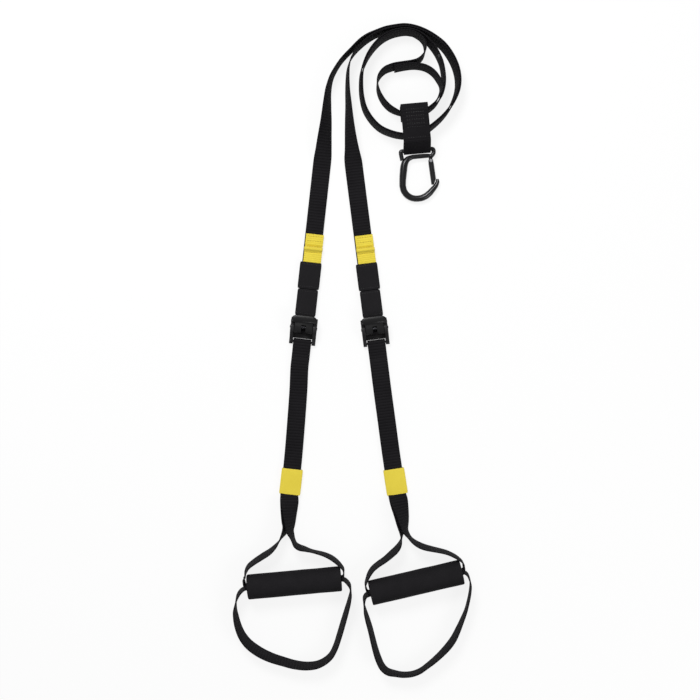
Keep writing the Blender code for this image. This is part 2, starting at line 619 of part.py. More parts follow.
def least_gap(laid, width=WEB_W, thickness=WEB_T, apart=APART):
    """The least gap of a strap to another stretch of itself, measured on points across it."""
    places = numpy.array([p[:3] for p in laid])
    ahead = numpy.gradient(places, axis=0)
    ahead /= numpy.linalg.norm(ahead, axis=1)[:, None]
    lean = numpy.radians([p[3] for p in laid])[:, None]
    up = numpy.array([0.0, 0.0, 1.0])
    left = numpy.cross(up, ahead)
    across = up * numpy.cos(lean) - left * numpy.sin(lean)
    along = numpy.concatenate(
        [[0.0], numpy.cumsum(numpy.linalg.norm(numpy.diff(places, axis=0), axis=1))]
    )
    shares = numpy.linspace(-0.5, 0.5, 9)
    rails = places[:, None] + across[:, None] * (shares * width)[:, None]
    starts, steps = rails[:-1], rails[1:] - rails[:-1]
    least = math.inf
    for i, points in enumerate(rails):
        far = numpy.minimum(abs(along[:-1] - along[i]), abs(along[1:] - along[i])) > apart
        a, d = starts[far].reshape(-1, 3), steps[far].reshape(-1, 3)
        for point in points:
            t = numpy.clip(((point - a) * d).sum(1) / (d * d).sum(1), 0.0, 1.0)
            least = min(least, numpy.linalg.norm(a + d * t[:, None] - point, axis=1).min())
    return least - thickness


BLACK_WEB = material("black_webbing", (0.012, 0.012, 0.013), 0.75)
YELLOW_WEB = material("yellow_webbing", (0.83, 0.68, 0.06), 0.7)
BLACK_METAL = material("black_anodised_metal", (0.02, 0.02, 0.022), 0.3, 0.9)
STEEL = material("spring_steel", (0.55, 0.55, 0.57), 0.28, 1.0)
BLACK_PAINT = material("black_painted_metal", (0.018, 0.018, 0.02), 0.4)
FOAM = material("black_foam", (0.02, 0.02, 0.02), 0.9)
TUBE_PLASTIC = material("black_plastic_tube", (0.03, 0.03, 0.03), 0.5)

# The webbing's cross-section guides every strap
half_t, half_w = WEB_T / 2, WEB_W / 2
profile = bpy.data.curves.new("webbing_profile", "CURVE")
profile.dimensions = "2D"
section = profile.splines.new("POLY")
section.points.add(3)
for point, (x, y) in zip(
    section.points, ((-half_t, -half_w), (half_t, -half_w), (half_t, half_w), (-half_t, half_w))
):
    point.co = (x, y, 0.0, 1.0)
section.use_cyclic_u = True
WEB_PROFILE = bpy.data.objects.new("webbing_profile", profile)
PARTS.objects.link(WEB_PROFILE)
as_cutter(WEB_PROFILE)


def on_leg(side, along, across=0.0):
    """A point of a side's leg, at a distance up it from the buckle's middle."""
    x, y = side["buckle_at"]
    turn = math.radians(side["buckle_turn"])
    return (
        x + across * math.cos(turn) - along * math.sin(turn),
        y + across * math.sin(turn) + along * math.cos(turn),
    )


def on_grip(side, along, across, lift):
    """A point of a side's grip, along its tube and across it."""
    x, y = side["grip_at"]
    turn = math.radians(side["grip_turn"])
    return (
        x + along * math.cos(turn) - across * math.sin(turn),
        y + along * math.sin(turn) + across * math.cos(turn),
        0.0,
        lift,
    )


# The main strap: up the left leg, round the coil, through the tab's loop and back to the right leg
left_leg = [(*on_leg(SIDES["left"], s), -90.0, FLAT_LIFT) for s in (STRAP_END_AT, *LEG_MARKS)]
right_leg = [(*on_leg(SIDES["right"], s), -90.0, FLAT_LIFT) for s in (*LEG_MARKS[::-1], STRAP_END_AT)]
coil = smooth_route(COIL_PAIR, COIL_STEP)
main_route = (
    left_leg + turned_back(LEFT_SHOULDER) + shifted(coil, PITCH / 2) + filled(RING)
    + turned_back(shifted(coil, -PITCH / 2)) + filled(RIGHT_SHOULDER) + right_leg
)
main_laid = resting(smooth_route(main_route))
webbing("main_strap", main_laid, BLACK_WEB)
print("main_strap least gap to itself: %.2f mm" % (least_gap(main_laid) * 1000))
webbing("locking_loop", resting(smooth_route(LOCKING_LOOP)), BLACK_WEB)

# The anchor tab: one folded webbing, sewn to itself between the carabiner's bar and the top loop
tab_place = place("anchor_tab_place", (*ANCHOR_AT, 0.0), ANCHOR_TURN)
top_z = LOOP_LIFT + WEB_W + SEAT_GAP + TAB_T / 2 + TAB_LAYER_GAP
under_z = top_z - TAB_T - TAB_LAYER_GAP
floor_z = FLOOR_GAP + TAB_T / 2
end_y = TAB_LENGTH - TAB_T / 2
wall_y = end_y - TAB_LOOP
wrap_r = EYE_R + WRAP_GAP + TAB_T / 2
seam_y = (wall_y + TAB_DROP_Y) / 2 + SEAM_GAP
tab_path = rounded(
    [
        (seam_y, under_z), (wall_y, under_z), (wall_y, floor_z), (end_y, floor_z),
        (end_y, top_z), (TAB_DROP_Y, top_z),
    ],
    TAB_BEND, 2,
)[:-1]
tab_path += [(TAB_DROP_Y + TAB_BEND, top_z)]
tab_path += rounded(
    [(TAB_DROP_Y + TAB_BEND * 0.9, top_z), (TAB_DROP_Y, top_z)]
    + arc((0.0, EYE_Z), wrap_r, 90.0 + TAB_SLOPES[0], 270.0 + TAB_SLOPES[1], 8)
    + [(TAB_DROP_Y + TAB_T + TAB_LAYER_GAP, under_z), (seam_y - SEAM_GAP, under_z)],
    TAB_BEND, 2,
)
strip("anchor_tab", tab_path, TAB_W, TAB_T, BLACK_WEB, tab_place)

# The carabiner hangs on its crossbar and rests on its bow
carabiner_hinge = place("carabiner_hinge", (*ANCHOR_AT, EYE_Z), ANCHOR_TURN, CARABINER_TIP)
spine = [
    (x * CARABINER_HALF, y * CARABINER_LENGTH, share, 0.0) for x, y, share in BODY_SPINE_SHARES
]
body = round_line(
    "carabiner_frame",
    [(x, y, 0.0, share) for x, y, share, _ in smooth_route(spine)],
    BODY_R, BLACK_METAL, carabiner_hinge,
)
shoulder = (GATE_X, GATE_Y + GATE_R + SEAT_GAP + EYE_R / 3)
eye_path = rounded(
    [
        (-EYE_HALF + EYE_LEAN, -EYE_DROP), (-EYE_HALF, -EYE_DROP / 3), (-EYE_HALF, 0.0),
        (EYE_HALF, 0.0), (EYE_HALF, -EYE_DROP / 2), shoulder,
    ],
    EYE_R * 1.5, 5,
)
eye = round_line("carabiner_eye", [(x, y, 0.0, 1.0) for x, y in eye_path], EYE_R,
                 parent=carabiner_hinge)
boolean(body, eye, "UNION")
gate_at = (GATE_X, GATE_Y, 0.0)
tongue_half = TONGUE_W / 2
boolean(body, box(
    "gate_tongue", (GATE_X - tongue_half, GATE_Y, -TONGUE_T / 2),
    (GATE_X + tongue_half, shoulder[1] + EYE_R, TONGUE_T / 2), parent=carabiner_hinge,
), "UNION")
boolean(body, rod("gate_tongue_end", tongue_half, TONGUE_T, gate_at, "Z", parent=carabiner_hinge),
        "UNION")
boolean(body, rod("tongue_hole", RIVET_R + SEAT_GAP, BODY_R * 4, gate_at, "Z",
                  parent=carabiner_hinge, facets=FINE_FACETS), "DIFFERENCE")

rivet_half = GATE_R + SEAT_GAP
rivet = rod("gate_rivet", RIVET_R, rivet_half * 2 + RIVET_HEAD_T, gate_at, "Z", STEEL,
            carabiner_hinge, FINE_FACETS)
for sign in (-1, 1):
    head_at = (GATE_X, GATE_Y, sign * (rivet_half + RIVET_HEAD_T / 2))
    boolean(rivet, rod("rivet_head", RIVET_HEAD_R, RIVET_HEAD_T, head_at, "Z",
                       parent=carabiner_hinge, facets=FINE_FACETS), "UNION")

# The gate: its local X axis points down from the rivet
gate_hinge = place("gate_hinge", gate_at, GATE_LEAN - 90.0, parent=carabiner_hinge)
nose_start, nose_end = [
    Vector((x * CARABINER_HALF, y * CARABINER_LENGTH, 0.0)) for x, y, _ in BODY_SPINE_SHARES[-3:-1]
]
gate_length = (GATE_Y - GATE_END_GAP - nose_start.y) / math.cos(math.radians(GATE_LEAN))
gate_profile = [(x, r) for x, r in arc((0.0, 0.0), GATE_R, 180.0, 90.0, 5)]
gate_profile[0] = (-GATE_R, 0.0)
gate_profile += [
    (gate_length - GATE_END_ROUND, GATE_R), (gate_length, GATE_R - GATE_END_ROUND),
    (gate_length, 0.0),
]
gate = turned("carabiner_gate", gate_profile, BLACK_METAL, gate_hinge, FINE_FACETS)
nose_ahead = nose_end - nose_start
nose = place("nose", nose_start, math.degrees(math.atan2(nose_ahead.y, nose_ahead.x)),
             parent=carabiner_hinge)
nose_r = BODY_R * BODY_SPINE_SHARES[-3][2]
boolean(gate, box(
    "gate_end_cut", (-gate_length, -gate_length, -GATE_R - CUT),
    (gate_length, nose_r + SEAT_GAP, GATE_R + CUT), parent=nose,
), "DIFFERENCE")
slot_half = TONGUE_T / 2 + SEAT_GAP
slot_depth = tongue_half + SEAT_GAP * 2
boolean(gate, box(
    "gate_slot", (-GATE_R - CUT, -GATE_R - CUT, -slot_half), (slot_depth, GATE_R + CUT, slot_half),
    parent=gate_hinge,
), "DIFFERENCE")
boolean(gate, rod("gate_rivet_hole", RIVET_R + SEAT_GAP, GATE_R * 2 + CUT * 2, (0.0, 0.0, 0.0), "Z",
                  parent=gate_hinge, facets=FINE_FACETS), "DIFFERENCE")
bore_end = slot_depth + PLUNGER_LENGTH + GATE_SPRING_LENGTH
boolean(gate, rod("gate_bore", GATE_BORE_R, bore_end + CUT, ((bore_end - CUT) / 2, 0.0, 0.0),
                  parent=gate_hinge, facets=FINE_FACETS), "DIFFERENCE")
plunger_r = GATE_BORE_R - SEAT_GAP
plunger_start = tongue_half + SEAT_GAP
turned(
    "gate_plunger",
    [
        (plunger_start + PLUNGER_LENGTH, 0.0), (plunger_start + PLUNGER_LENGTH, plunger_r),
        (plunger_start + plunger_r, plunger_r), (plunger_start + plunger_r * 0.3, plunger_r * 0.75),
        (plunger_start, 0.0),
    ],
    STEEL, gate_hinge, FINE_FACETS // 2,
)


def helix(radius, length, turns, start, steps=8):
    """Points of a coil about the X axis."""
    points = []
    for i in range(turns * steps + 1):
        a = 2 * math.pi * i / steps
        points.append(
            (start + length * i / (turns * steps), radius * math.cos(a), radius * math.sin(a), 1.0)
        )
    return points


def coil_gap(name, length, turns, wire_r):
    """Prints the least gap between a coil's turns, worked out from its pitch."""
    print("%s least gap to itself: %.2f mm" % (name, (length / turns - 2 * wire_r) * 1000))


spring_start = plunger_start + PLUNGER_LENGTH + SEAT_GAP + GATE_WIRE_R
spring_length = bore_end - SEAT_GAP - GATE_WIRE_R - spring_start
round_line(
    "gate_spring",
    helix(GATE_BORE_R - SEAT_GAP - GATE_WIRE_R, spring_length, GATE_SPRING_TURNS, spring_start),
    GATE_WIRE_R, STEEL, gate_hinge, 1,
)
coil_gap("gate_spring", spring_length, GATE_SPRING_TURNS, GATE_WIRE_R)

# Heights in each buckle, from the floor up
plate_top = FLOOR_GAP + PLATE_T
roller_wrap = ROLLER_R + WRAP_GAP + WEB_T / 2
roller_z = plate_top + SEAT_GAP + WEB_T / 2 + roller_wrap
tail_z = roller_z + roller_wrap
pivot_z = tail_z + WEB_T / 2 + DRUM_GAP + TOOTH_H + DRUM_R
bar_wrap = REAR_BAR_R + WRAP_GAP + FOLD_T / 2
bar_z = FLOOR_GAP + FOLD_T / 2 + bar_wrap
leg_z = FLAT_LIFT + WEB_T / 2
keeper_tail_z = leg_z + PITCH
wall_z = pivot_z + PIN_R + PIN_MARGIN
inner_half = BUCKLE_W / 2 - WALL_T

for side_name, side in SIDES.items():
    def named(piece):
        return side_name + "_" + piece

    buckle_place = place(named("buckle_place"), (*side["buckle_at"], 0.0), side["buckle_turn"])

    # The far end of the strap runs down through the sleeve, round the roller and back up
    strip(
        named("strap_end"),
        rounded(
            [(STRAP_END_AT - SEAT_GAP, leg_z), (SLEEVE_START + DROP_START, leg_z),
             (SLEEVE_START - DROP_END, roller_z - roller_wrap)]
            + arc((ROLLER_Y, roller_z), roller_wrap, 270.0, 90.0, 8)
            + [(SLEEVE_START, tail_z), (SLEEVE_END + SEAT_GAP, keeper_tail_z),
               (KEEPER_END - TUCK - SEAT_GAP, keeper_tail_z)],
            STRAP_BEND, 2,
        ),
        WEB_W, WEB_T, BLACK_WEB, buckle_place,
    )

    # Buckle: two side walls, a base plate, a roller and the bar that carries the handle strap
    rail = [
        (BUCKLE_FOOT, FLOOR_GAP), (BUCKLE_TOP, FLOOR_GAP), (BUCKLE_TOP, LIP_Z),
        (RAIL_NECK, wall_z - RAIL_STEP), (RAIL_FLAT_END, wall_z), (RAIL_FLAT_START, wall_z),
        (RAIL_FLAT_START - RAIL_STEP * 2, FOOT_Z), (BUCKLE_FOOT, FOOT_Z - RAIL_ROUND),
    ]
    frame = outline(named("buckle_frame"), rounded(rail, RAIL_ROUND, 2), WALL_T, BLACK_PAINT,
                    buckle_place, inner_half + WALL_T / 2)
    frame.modifiers.new("other wall", "MIRROR").use_mirror_merge = False
    bevel(frame, RAIL_ROUND / 4)
    reach = inner_half + WALL_T / 2
    boolean(frame, box(
        named("base_plate"), (-reach, PLATE_START, FLOOR_GAP + PLATE_INSET),
        (reach, BUCKLE_TOP - PLATE_INSET, plate_top), parent=buckle_place,
    ), "UNION")
    for piece, radius, y, z in (
        ("roller", ROLLER_R, ROLLER_Y, roller_z), ("rear_bar", REAR_BAR_R, REAR_BAR_Y, bar_z),
    ):
        boolean(frame, rod(named(piece), radius, reach * 2, (0.0, y, z), parent=buckle_place,
                           facets=FINE_FACETS), "UNION")
    boolean(frame, rod(
        named("pin_hole"), PIN_R + SEAT_GAP, BUCKLE_W + CUT * 2, (0.0, PIVOT_Y, pivot_z),
        parent=buckle_place, facets=FINE_FACETS,
    ), "DIFFERENCE")

    pin_half = BUCKLE_W / 2 + SEAT_GAP
    pin = rod(named("cam_pin"), PIN_R, pin_half * 2 + PIN_HEAD_T, (0.0, PIVOT_Y, pivot_z),
              mat=STEEL, parent=buckle_place, facets=FINE_FACETS)
    for sign in (-1, 1):
        boolean(pin, rod(
            named("pin_head"), PIN_HEAD_R, PIN_HEAD_T,
            (sign * (pin_half + PIN_HEAD_T / 2), PIVOT_Y, pivot_z), parent=buckle_place,
            facets=FINE_FACETS,
        ), "UNION")

    # Cam lever, about its pin: a toothed drum, a block between the walls and a wide thumb plate
    cam_hinge = place(named("cam_hinge"), (0.0, PIVOT_Y, pivot_z), parent=buckle_place)
    back, step, tip = LEVER_BACK - PIVOT_Y, LEVER_STEP - PIVOT_Y, LEVER_TIP - PIVOT_Y
    rise = math.tan(math.radians(THUMB_RISE)) * (tip - step)
    block_top = LEVER_HEIGHT
    block = [
        (back, -LEVER_CHIN), (0.0, -LEVER_CHIN), (step, THUMB_UNDER),
        (tip - THUMB_T, THUMB_UNDER + rise), (tip - THUMB_T, THUMB_UNDER + rise + THUMB_T * 0.6),
        (step, THUMB_UNDER + THUMB_T * 0.8), (step - THUMB_T * 2, block_top), (back + THUMB_T, block_top),
        (back, block_top - THUMB_T),
    ]
    lever = outline(named("cam_lever"), rounded(block, THUMB_T / 3, 2), FOLD_W, BLACK_PAINT, cam_hinge)
    bevel(lever, THUMB_T / 5)
    half = BUCKLE_W / 2 - THUMB_CORNER
    plan = [(-BUCKLE_W / 2, step), (BUCKLE_W / 2, step)]
    plan += arc((half, tip - THUMB_CORNER), THUMB_CORNER, 0.0, 90.0, 5)
    plan += arc((-half, tip - THUMB_CORNER), THUMB_CORNER, 90.0, 180.0, 5)
    thumb = slab(named("thumb_plate"), plan, THUMB_UNDER, THUMB_T, THUMB_RISE, cam_hinge)
    bevel(thumb, THUMB_ROUND)
    boolean(lever, thumb, "UNION")
    boolean(lever, rod(named("cam_drum"), DRUM_R, FOLD_W - CUT, (0.0, 0.0, 0.0), parent=cam_hinge),
            "UNION")
    teeth = None
    for i in range(TEETH):
        a = math.radians(-90.0 + (i - (TEETH - 1) / 2) * TOOTH_PITCH)
        across = Vector((math.cos(a), math.sin(a)))
        along = Vector((-across.y, across.x)) * TOOTH_H
        root, point = across * (DRUM_R - TOOTH_H / 2), across * (DRUM_R + TOOTH_H)
        tooth = outline(named("cam_tooth"), [tuple(root - along), tuple(point), tuple(root + along)],
                        FOLD_W - CUT * 2, parent=cam_hinge)
        boolean(lever, tooth, "UNION")
    notch_half = SPRING_TURNS * SPRING_PITCH / 2 + WIRE_R + SEAT_GAP
    notch_front = SPRING_R + WIRE_R + SEAT_GAP
    boolean(lever, box(
        named("spring_notch"), (-notch_half, back - CUT, -DRUM_R - TOOTH_H - CUT),
        (notch_half, notch_front, block_top + CUT), parent=cam_hinge,
    ), "DIFFERENCE")
    boolean(lever, rod(named("lever_hole"), PIN_R + SEAT_GAP, BUCKLE_W + CUT * 2, (0.0, 0.0, 0.0),
                       parent=cam_hinge, facets=FINE_FACETS), "DIFFERENCE")
    spring_width = SPRING_TURNS * SPRING_PITCH
    round_line(named("cam_spring"), helix(SPRING_R, spring_width, SPRING_TURNS, -spring_width / 2),
               WIRE_R, STEEL, cam_hinge, 1)
    coil_gap(named("cam_spring"), spring_width, SPRING_TURNS, WIRE_R)

    # Sleeve and keeper over the two layers of the leg, and the yellow tab on the free end
    tail_top = tail_z + WEB_T / 2 + SEAT_GAP + WALL_CLOTH
    keeper_top = leg_z + WEB_T / 2 + SEAT_GAP * 2 + PULL_T + WALL_CLOTH + SEAT_GAP
    sleeve(named("buckle_sleeve"), (SLEEVE_START, SLEEVE_END), SLEEVE_W, (tail_top, keeper_top),
           WALL_CLOTH, BLACK_WEB, buckle_place)
    sleeve(named("tab_keeper"), (SLEEVE_END + KEEPER_GAP, KEEPER_END), KEEPER_W,
           (keeper_top, keeper_top), WALL_CLOTH, BLACK_WEB, buckle_place)
    pull_low = leg_z + WEB_T / 2 + SEAT_GAP
    pull_high = pull_low + PULL_T
    pull = outline(
        named("adjust_tab"),
        [
            (KEEPER_END - TUCK, pull_low), (TAB_END, pull_low), (TAB_END, pull_high),
            (RIDGE_AT + RIDGE_HALF, pull_high), (RIDGE_AT + RIDGE_HALF * 0.7, pull_high + RIDGE_H * 0.8),
            (RIDGE_AT + RIDGE_HALF * 0.25, pull_high + RIDGE_H),
            (RIDGE_AT - RIDGE_HALF * 0.25, pull_high + RIDGE_H),
            (RIDGE_AT - RIDGE_HALF * 0.7, pull_high + RIDGE_H * 0.8),
            (RIDGE_AT - RIDGE_HALF, pull_high), (KEEPER_END - TUCK, pull_high),
        ],
        PULL_W, YELLOW_WEB, buckle_place, PULL_ASIDE,
    )
    bevel(pull, PULL_T / 4)

    # Handle strap: one webbing from its fold round the rear bar, through the label as two layers,
    # out as two arms and through the grip's tube
    pair = [(*on_leg(side, -s), 90.0, FLAT_LIFT) for s in (PAIR_START, PAIR_START + PAIR_LEAD)]
    pair += filled(side["pair"])
    upper, lower = shifted(pair, PITCH / 2, TWIST_GAP), shifted(pair, -PITCH / 2)
    in_tube = GRIP_R - WEB_W / 2
    entry = [
        (GRIP_LENGTH / 2 + beyond, across, rise_share * in_tube)
        for beyond, across, rise_share in ARM_ENTRY
    ]
    entry.append((GRIP_LENGTH / 2 - TUBE_INSET, STRAP_ASIDE, in_tube))
    through = [(GRIP_LENGTH / 4, STRAP_ASIDE, in_tube)]
    east = [on_grip(side, a, c, rise) for a, c, rise in entry + through]
    west = [on_grip(side, -a, c, rise) for a, c, rise in entry + through]
    west_arm = filled(side["west_arm"]) + west
    handle_route = (
        upper + filled(side["east_arm"]) + east + turned_back(west_arm) + turned_back(lower)
    )
    handle_laid = resting(smooth_route(handle_route))
    handle = webbing(named("handle_strap"), handle_laid, BLACK_WEB)
    print("%s least gap to itself: %.2f mm" % (named("handle_strap"), least_gap(handle_laid) * 1000))
    low_z, high_z = leg_z, leg_z + PITCH
    fold_path = rounded(
        [(-PAIR_START - FOLD_LAP, low_z), (-PAIR_START, low_z),
         (REAR_BAR_Y - bar_wrap * 2, bar_z - bar_wrap)]
        + arc((REAR_BAR_Y, bar_z), bar_wrap, -90.0, 90.0, 8)
        + [(REAR_BAR_Y - bar_wrap * 2, bar_z + bar_wrap), (-PAIR_START, high_z),
           (-PAIR_START - FOLD_LAP, high_z)],
        STRAP_BEND, 2,
    )
    fold = strip(named("strap_fold"), fold_path, FOLD_W, FOLD_T, parent=buckle_place)
    boolean(handle, fold, "UNION")

    label_place = place(named("label_place"), (*side["label_at"], 0.0), side["label_turn"])
    label_top = FLAT_LIFT + WEB_T * 2 + LAYER_GAP + SEAT_GAP + LABEL_WALL
    sleeve(named("label"), (-LABEL_LENGTH / 2, LABEL_LENGTH / 2), LABEL_W, (label_top, label_top),
           LABEL_WALL, YELLOW_WEB, label_place)

    # Foot loop: a strap whose ends meet in the tube, beside the handle strap
    loop_ends = [
        (SEAT_GAP, -STRAP_ASIDE, in_tube), (GRIP_LENGTH / 4, -STRAP_ASIDE, in_tube),
        (GRIP_LENGTH / 2 - TUBE_INSET, -STRAP_ASIDE, in_tube),
        (GRIP_LENGTH / 2 + TUBE_LEAD, -STRAP_ASIDE, in_tube),
    ]
    out = [on_grip(side, -a, c, rise) for a, c, rise in loop_ends]
    home = [on_grip(side, a, c, rise) for a, c, rise in reversed(loop_ends)]
    loop_laid = resting(smooth_route(out + filled(side["foot_loop"]) + home))
    webbing(named("foot_loop"), loop_laid, BLACK_WEB)

    # Grip: a plastic tube under a foam sleeve, turning freely round the straps
    grip_hinge = place(named("grip_hinge"), (*side["grip_at"], GRIP_R), side["grip_turn"])
    end = GRIP_LENGTH / 2
    turned(
        named("grip_tube"),
        [(end, TUBE_BORE_R), (end, TUBE_R), (-end, TUBE_R), (-end, TUBE_BORE_R)],
        TUBE_PLASTIC, grip_hinge,
    )
    foam_r = TUBE_R + SEAT_GAP
    drop = (GRIP_R - foam_r)
    rim = [(end, foam_r), (end, GRIP_R - drop * 0.75), (end - drop * 0.4, GRIP_R - drop * 0.2),
           (end - drop * 1.4, GRIP_R)]
    far_rim = [(-x, r) for x, r in reversed(rim)]
    turned(named("grip_foam"), rim + far_rim, FOAM, grip_hinge)
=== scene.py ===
"""The looks of a suspension trainer that lies on a pale floor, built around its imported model."""
import math

import bmesh
import bpy
from mathutils import Matrix, Vector, noise


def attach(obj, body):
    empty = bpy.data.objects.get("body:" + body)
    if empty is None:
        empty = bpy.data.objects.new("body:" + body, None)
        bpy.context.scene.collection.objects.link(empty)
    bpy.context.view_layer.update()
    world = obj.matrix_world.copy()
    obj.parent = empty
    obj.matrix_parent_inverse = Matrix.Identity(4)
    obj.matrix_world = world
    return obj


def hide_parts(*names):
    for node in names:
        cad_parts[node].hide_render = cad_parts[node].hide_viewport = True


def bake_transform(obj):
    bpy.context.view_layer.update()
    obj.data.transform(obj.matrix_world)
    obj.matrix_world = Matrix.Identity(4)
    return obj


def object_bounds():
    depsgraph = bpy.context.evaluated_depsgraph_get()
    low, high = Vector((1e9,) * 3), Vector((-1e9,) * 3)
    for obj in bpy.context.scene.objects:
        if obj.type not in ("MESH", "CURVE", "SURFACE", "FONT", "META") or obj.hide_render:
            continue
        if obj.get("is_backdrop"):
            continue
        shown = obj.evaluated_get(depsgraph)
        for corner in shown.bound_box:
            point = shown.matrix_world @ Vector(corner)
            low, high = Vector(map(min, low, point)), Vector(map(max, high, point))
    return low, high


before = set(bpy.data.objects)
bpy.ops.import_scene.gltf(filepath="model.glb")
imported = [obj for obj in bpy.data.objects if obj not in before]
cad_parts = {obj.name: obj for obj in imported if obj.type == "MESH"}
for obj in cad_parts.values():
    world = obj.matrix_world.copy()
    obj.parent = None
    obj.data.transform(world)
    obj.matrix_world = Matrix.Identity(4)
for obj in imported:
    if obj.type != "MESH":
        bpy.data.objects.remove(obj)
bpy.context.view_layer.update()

# The studio: a pale floor, lit evenly by two soft lamps and a plain white surround. The camera
# looks straight down from 1.7 m, and its view is 0.994 m wide on the floor.
FLOOR_SIZE = 8.0
FLOOR_DROP = 0.0001
FLOOR_COLOUR = (0.93, 0.93, 0.93, 1.0)
FLOOR_ROUGHNESS = 0.9
WHITE = (1.0, 1.0, 1.0, 1.0)
VIEW_WIDTH = 0.994
CAMERA_AT = (-0.0042, 0.0016, 1.7)
SENSOR = 36.0
WORLD_LIGHT = 0.42
GLOW_SHARE = 0.85
LAMPS = {
    "overhead_lamp": ((-0.5, 1.2, 1.7), 0.8, 30.0),
    "side_lamp": ((1.3, -0.9, 1.3), 0.9, 9.0),
}
bpy.ops.object.select_all(action="DESELECT")
bpy.ops.mesh.primitive_plane_add(size=FLOOR_SIZE, location=(0.0, 0.0, -FLOOR_DROP))
floor = bpy.context.object
floor.name = "floor"
floor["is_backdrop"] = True


def maths(tree, operation, first, second=0.0):
    """The result of a Math node on two numbers or sockets."""
    node = tree.nodes.new("ShaderNodeMath")
    node.operation = operation
    for socket, value in zip(node.inputs, (first, second)):
        if isinstance(value, (int, float)):
            socket.default_value = value
        else:
            tree.links.new(value, socket)
    return node.outputs[0]


def seen_directly(tree):
    """1 where a camera, glossy or transmission ray meets the surface."""
    rays = tree.nodes.new("ShaderNodeLightPath").outputs
    both = maths(tree, "ADD", rays["Is Camera Ray"], rays["Is Glossy Ray"])
    either = maths(tree, "ADD", both, rays["Is Transmission Ray"])
    either.node.use_clamp = True
    return either


def mixed(tree, share, first, second):
    """Two shaders mixed by a share."""
    node = tree.nodes.new("ShaderNodeMixShader")
    for socket, source in zip(node.inputs, (share, first.outputs[0], second.outputs[0])):
        tree.links.new(source, socket)
    return node.outputs[0]


def new_finish(name):
    """A new material, with its node tree and its shader."""
    mat = bpy.data.materials.new(name)
    mat.use_nodes = True
    return mat, mat.node_tree, mat.node_tree.nodes["Principled BSDF"]


floor_paint, tree, plain = new_finish("pale_floor")
plain.inputs["Base Color"].default_value = FLOOR_COLOUR
plain.inputs["Roughness"].default_value = FLOOR_ROUGHNESS
glow = tree.nodes.new("ShaderNodeEmission")
glow.inputs["Color"].default_value = WHITE
share = maths(tree, "MULTIPLY", seen_directly(tree), GLOW_SHARE)
tree.links.new(mixed(tree, share, plain, glow), tree.nodes["Material Output"].inputs["Surface"])
floor.data.materials.append(floor_paint)

world = bpy.data.worlds.new("white_surround")
world.use_nodes = True
tree = world.node_tree
tree.nodes.clear()
surround, backdrop = (tree.nodes.new("ShaderNodeBackground") for _ in range(2))
for sky in (surround, backdrop):
    sky.inputs["Color"].default_value = WHITE
surround.inputs["Strength"].default_value = WORLD_LIGHT
to_camera = tree.nodes.new("ShaderNodeLightPath").outputs["Is Camera Ray"]
out = tree.nodes.new("ShaderNodeOutputWorld")
tree.links.new(mixed(tree, to_camera, surround, backdrop), out.inputs["Surface"])
bpy.context.scene.world = world

for name, (at, size, energy) in LAMPS.items():
    bpy.ops.object.light_add(type="AREA", location=at)
    lamp = bpy.context.object
    lamp.name = name
    lamp.data.shape = "DISK"
    lamp.data.size = size
    lamp.data.energy = energy
    lamp.rotation_euler = (-Vector(at)).to_track_quat("-Z", "Y").to_euler()

bpy.ops.object.camera_add(location=CAMERA_AT)
camera = bpy.context.object
camera.data.sensor_width = SENSOR
camera.data.lens = SENSOR * CAMERA_AT[2] / VIEW_WIDTH
bpy.context.scene.camera = camera
bpy.context.scene.view_settings.view_transform = "Standard"

# The main strap: nylon webbing 25.4 mm wide and 1.8 mm thick, in one length from buckle to buckle.
# It is shown as two cords, one for each leg, that meet out of sight in the anchor tab. It is woven
# with a rib across it, and most of the coil stands on its edge.
WEB_W = 0.0254
WEB_T = 0.0018
PITCH = 0.0024
TWIST_GAP = 0.0028
TWIST_SPREAD = 6
FLAT_LIFT = 0.0015
COIL_STEP = 0.003
STEP = 0.0015
DENSE_STEP = 0.0005
EVENING_PASSES = 14
SELVEDGE = 0.0006
CORNER_STEPS = 3
SHARP_FROM = 60.0
BLACK_THREAD = (0.017, 0.016, 0.018, 1.0)
# BLACK_GROOVE_SHADE is the webbing's black darkened to paint shade into the weave's low parts.
BLACK_GROOVE_SHADE = (0.0025, 0.0022, 0.0028, 1.0)
RIB_PITCH = 0.0041
WARP_PITCH = 0.0011
RIB_SHARE = 0.22
FINE_SHARE = 0.16
THREAD_SHARE = 0.18
FUZZ_SHARE = 0.25
FUZZ_GRAIN = 2500.0
PATCH_SHARE = 0.4
PATCH_GRAIN = 35.0
# GROOVE_SHADE_SHARE: how strongly painted shade follows the weave's height.
GROOVE_SHADE_SHARE = 0.75
TONE_DROP = 0.15
CLOTH_MOTTLE = 0.2
LEFT_LENGTH = 1.05
RIGHT_LENGTH = 1.05
LEGS = {"left": (-0.0701, 0.0286, -6.32), "right": (0.0312, 0.0272, 7.27)}
LEG_MARKS = (0.1000, 0.1600, 0.2160, 0.2360)
STRAP_END_AT = 0.0700
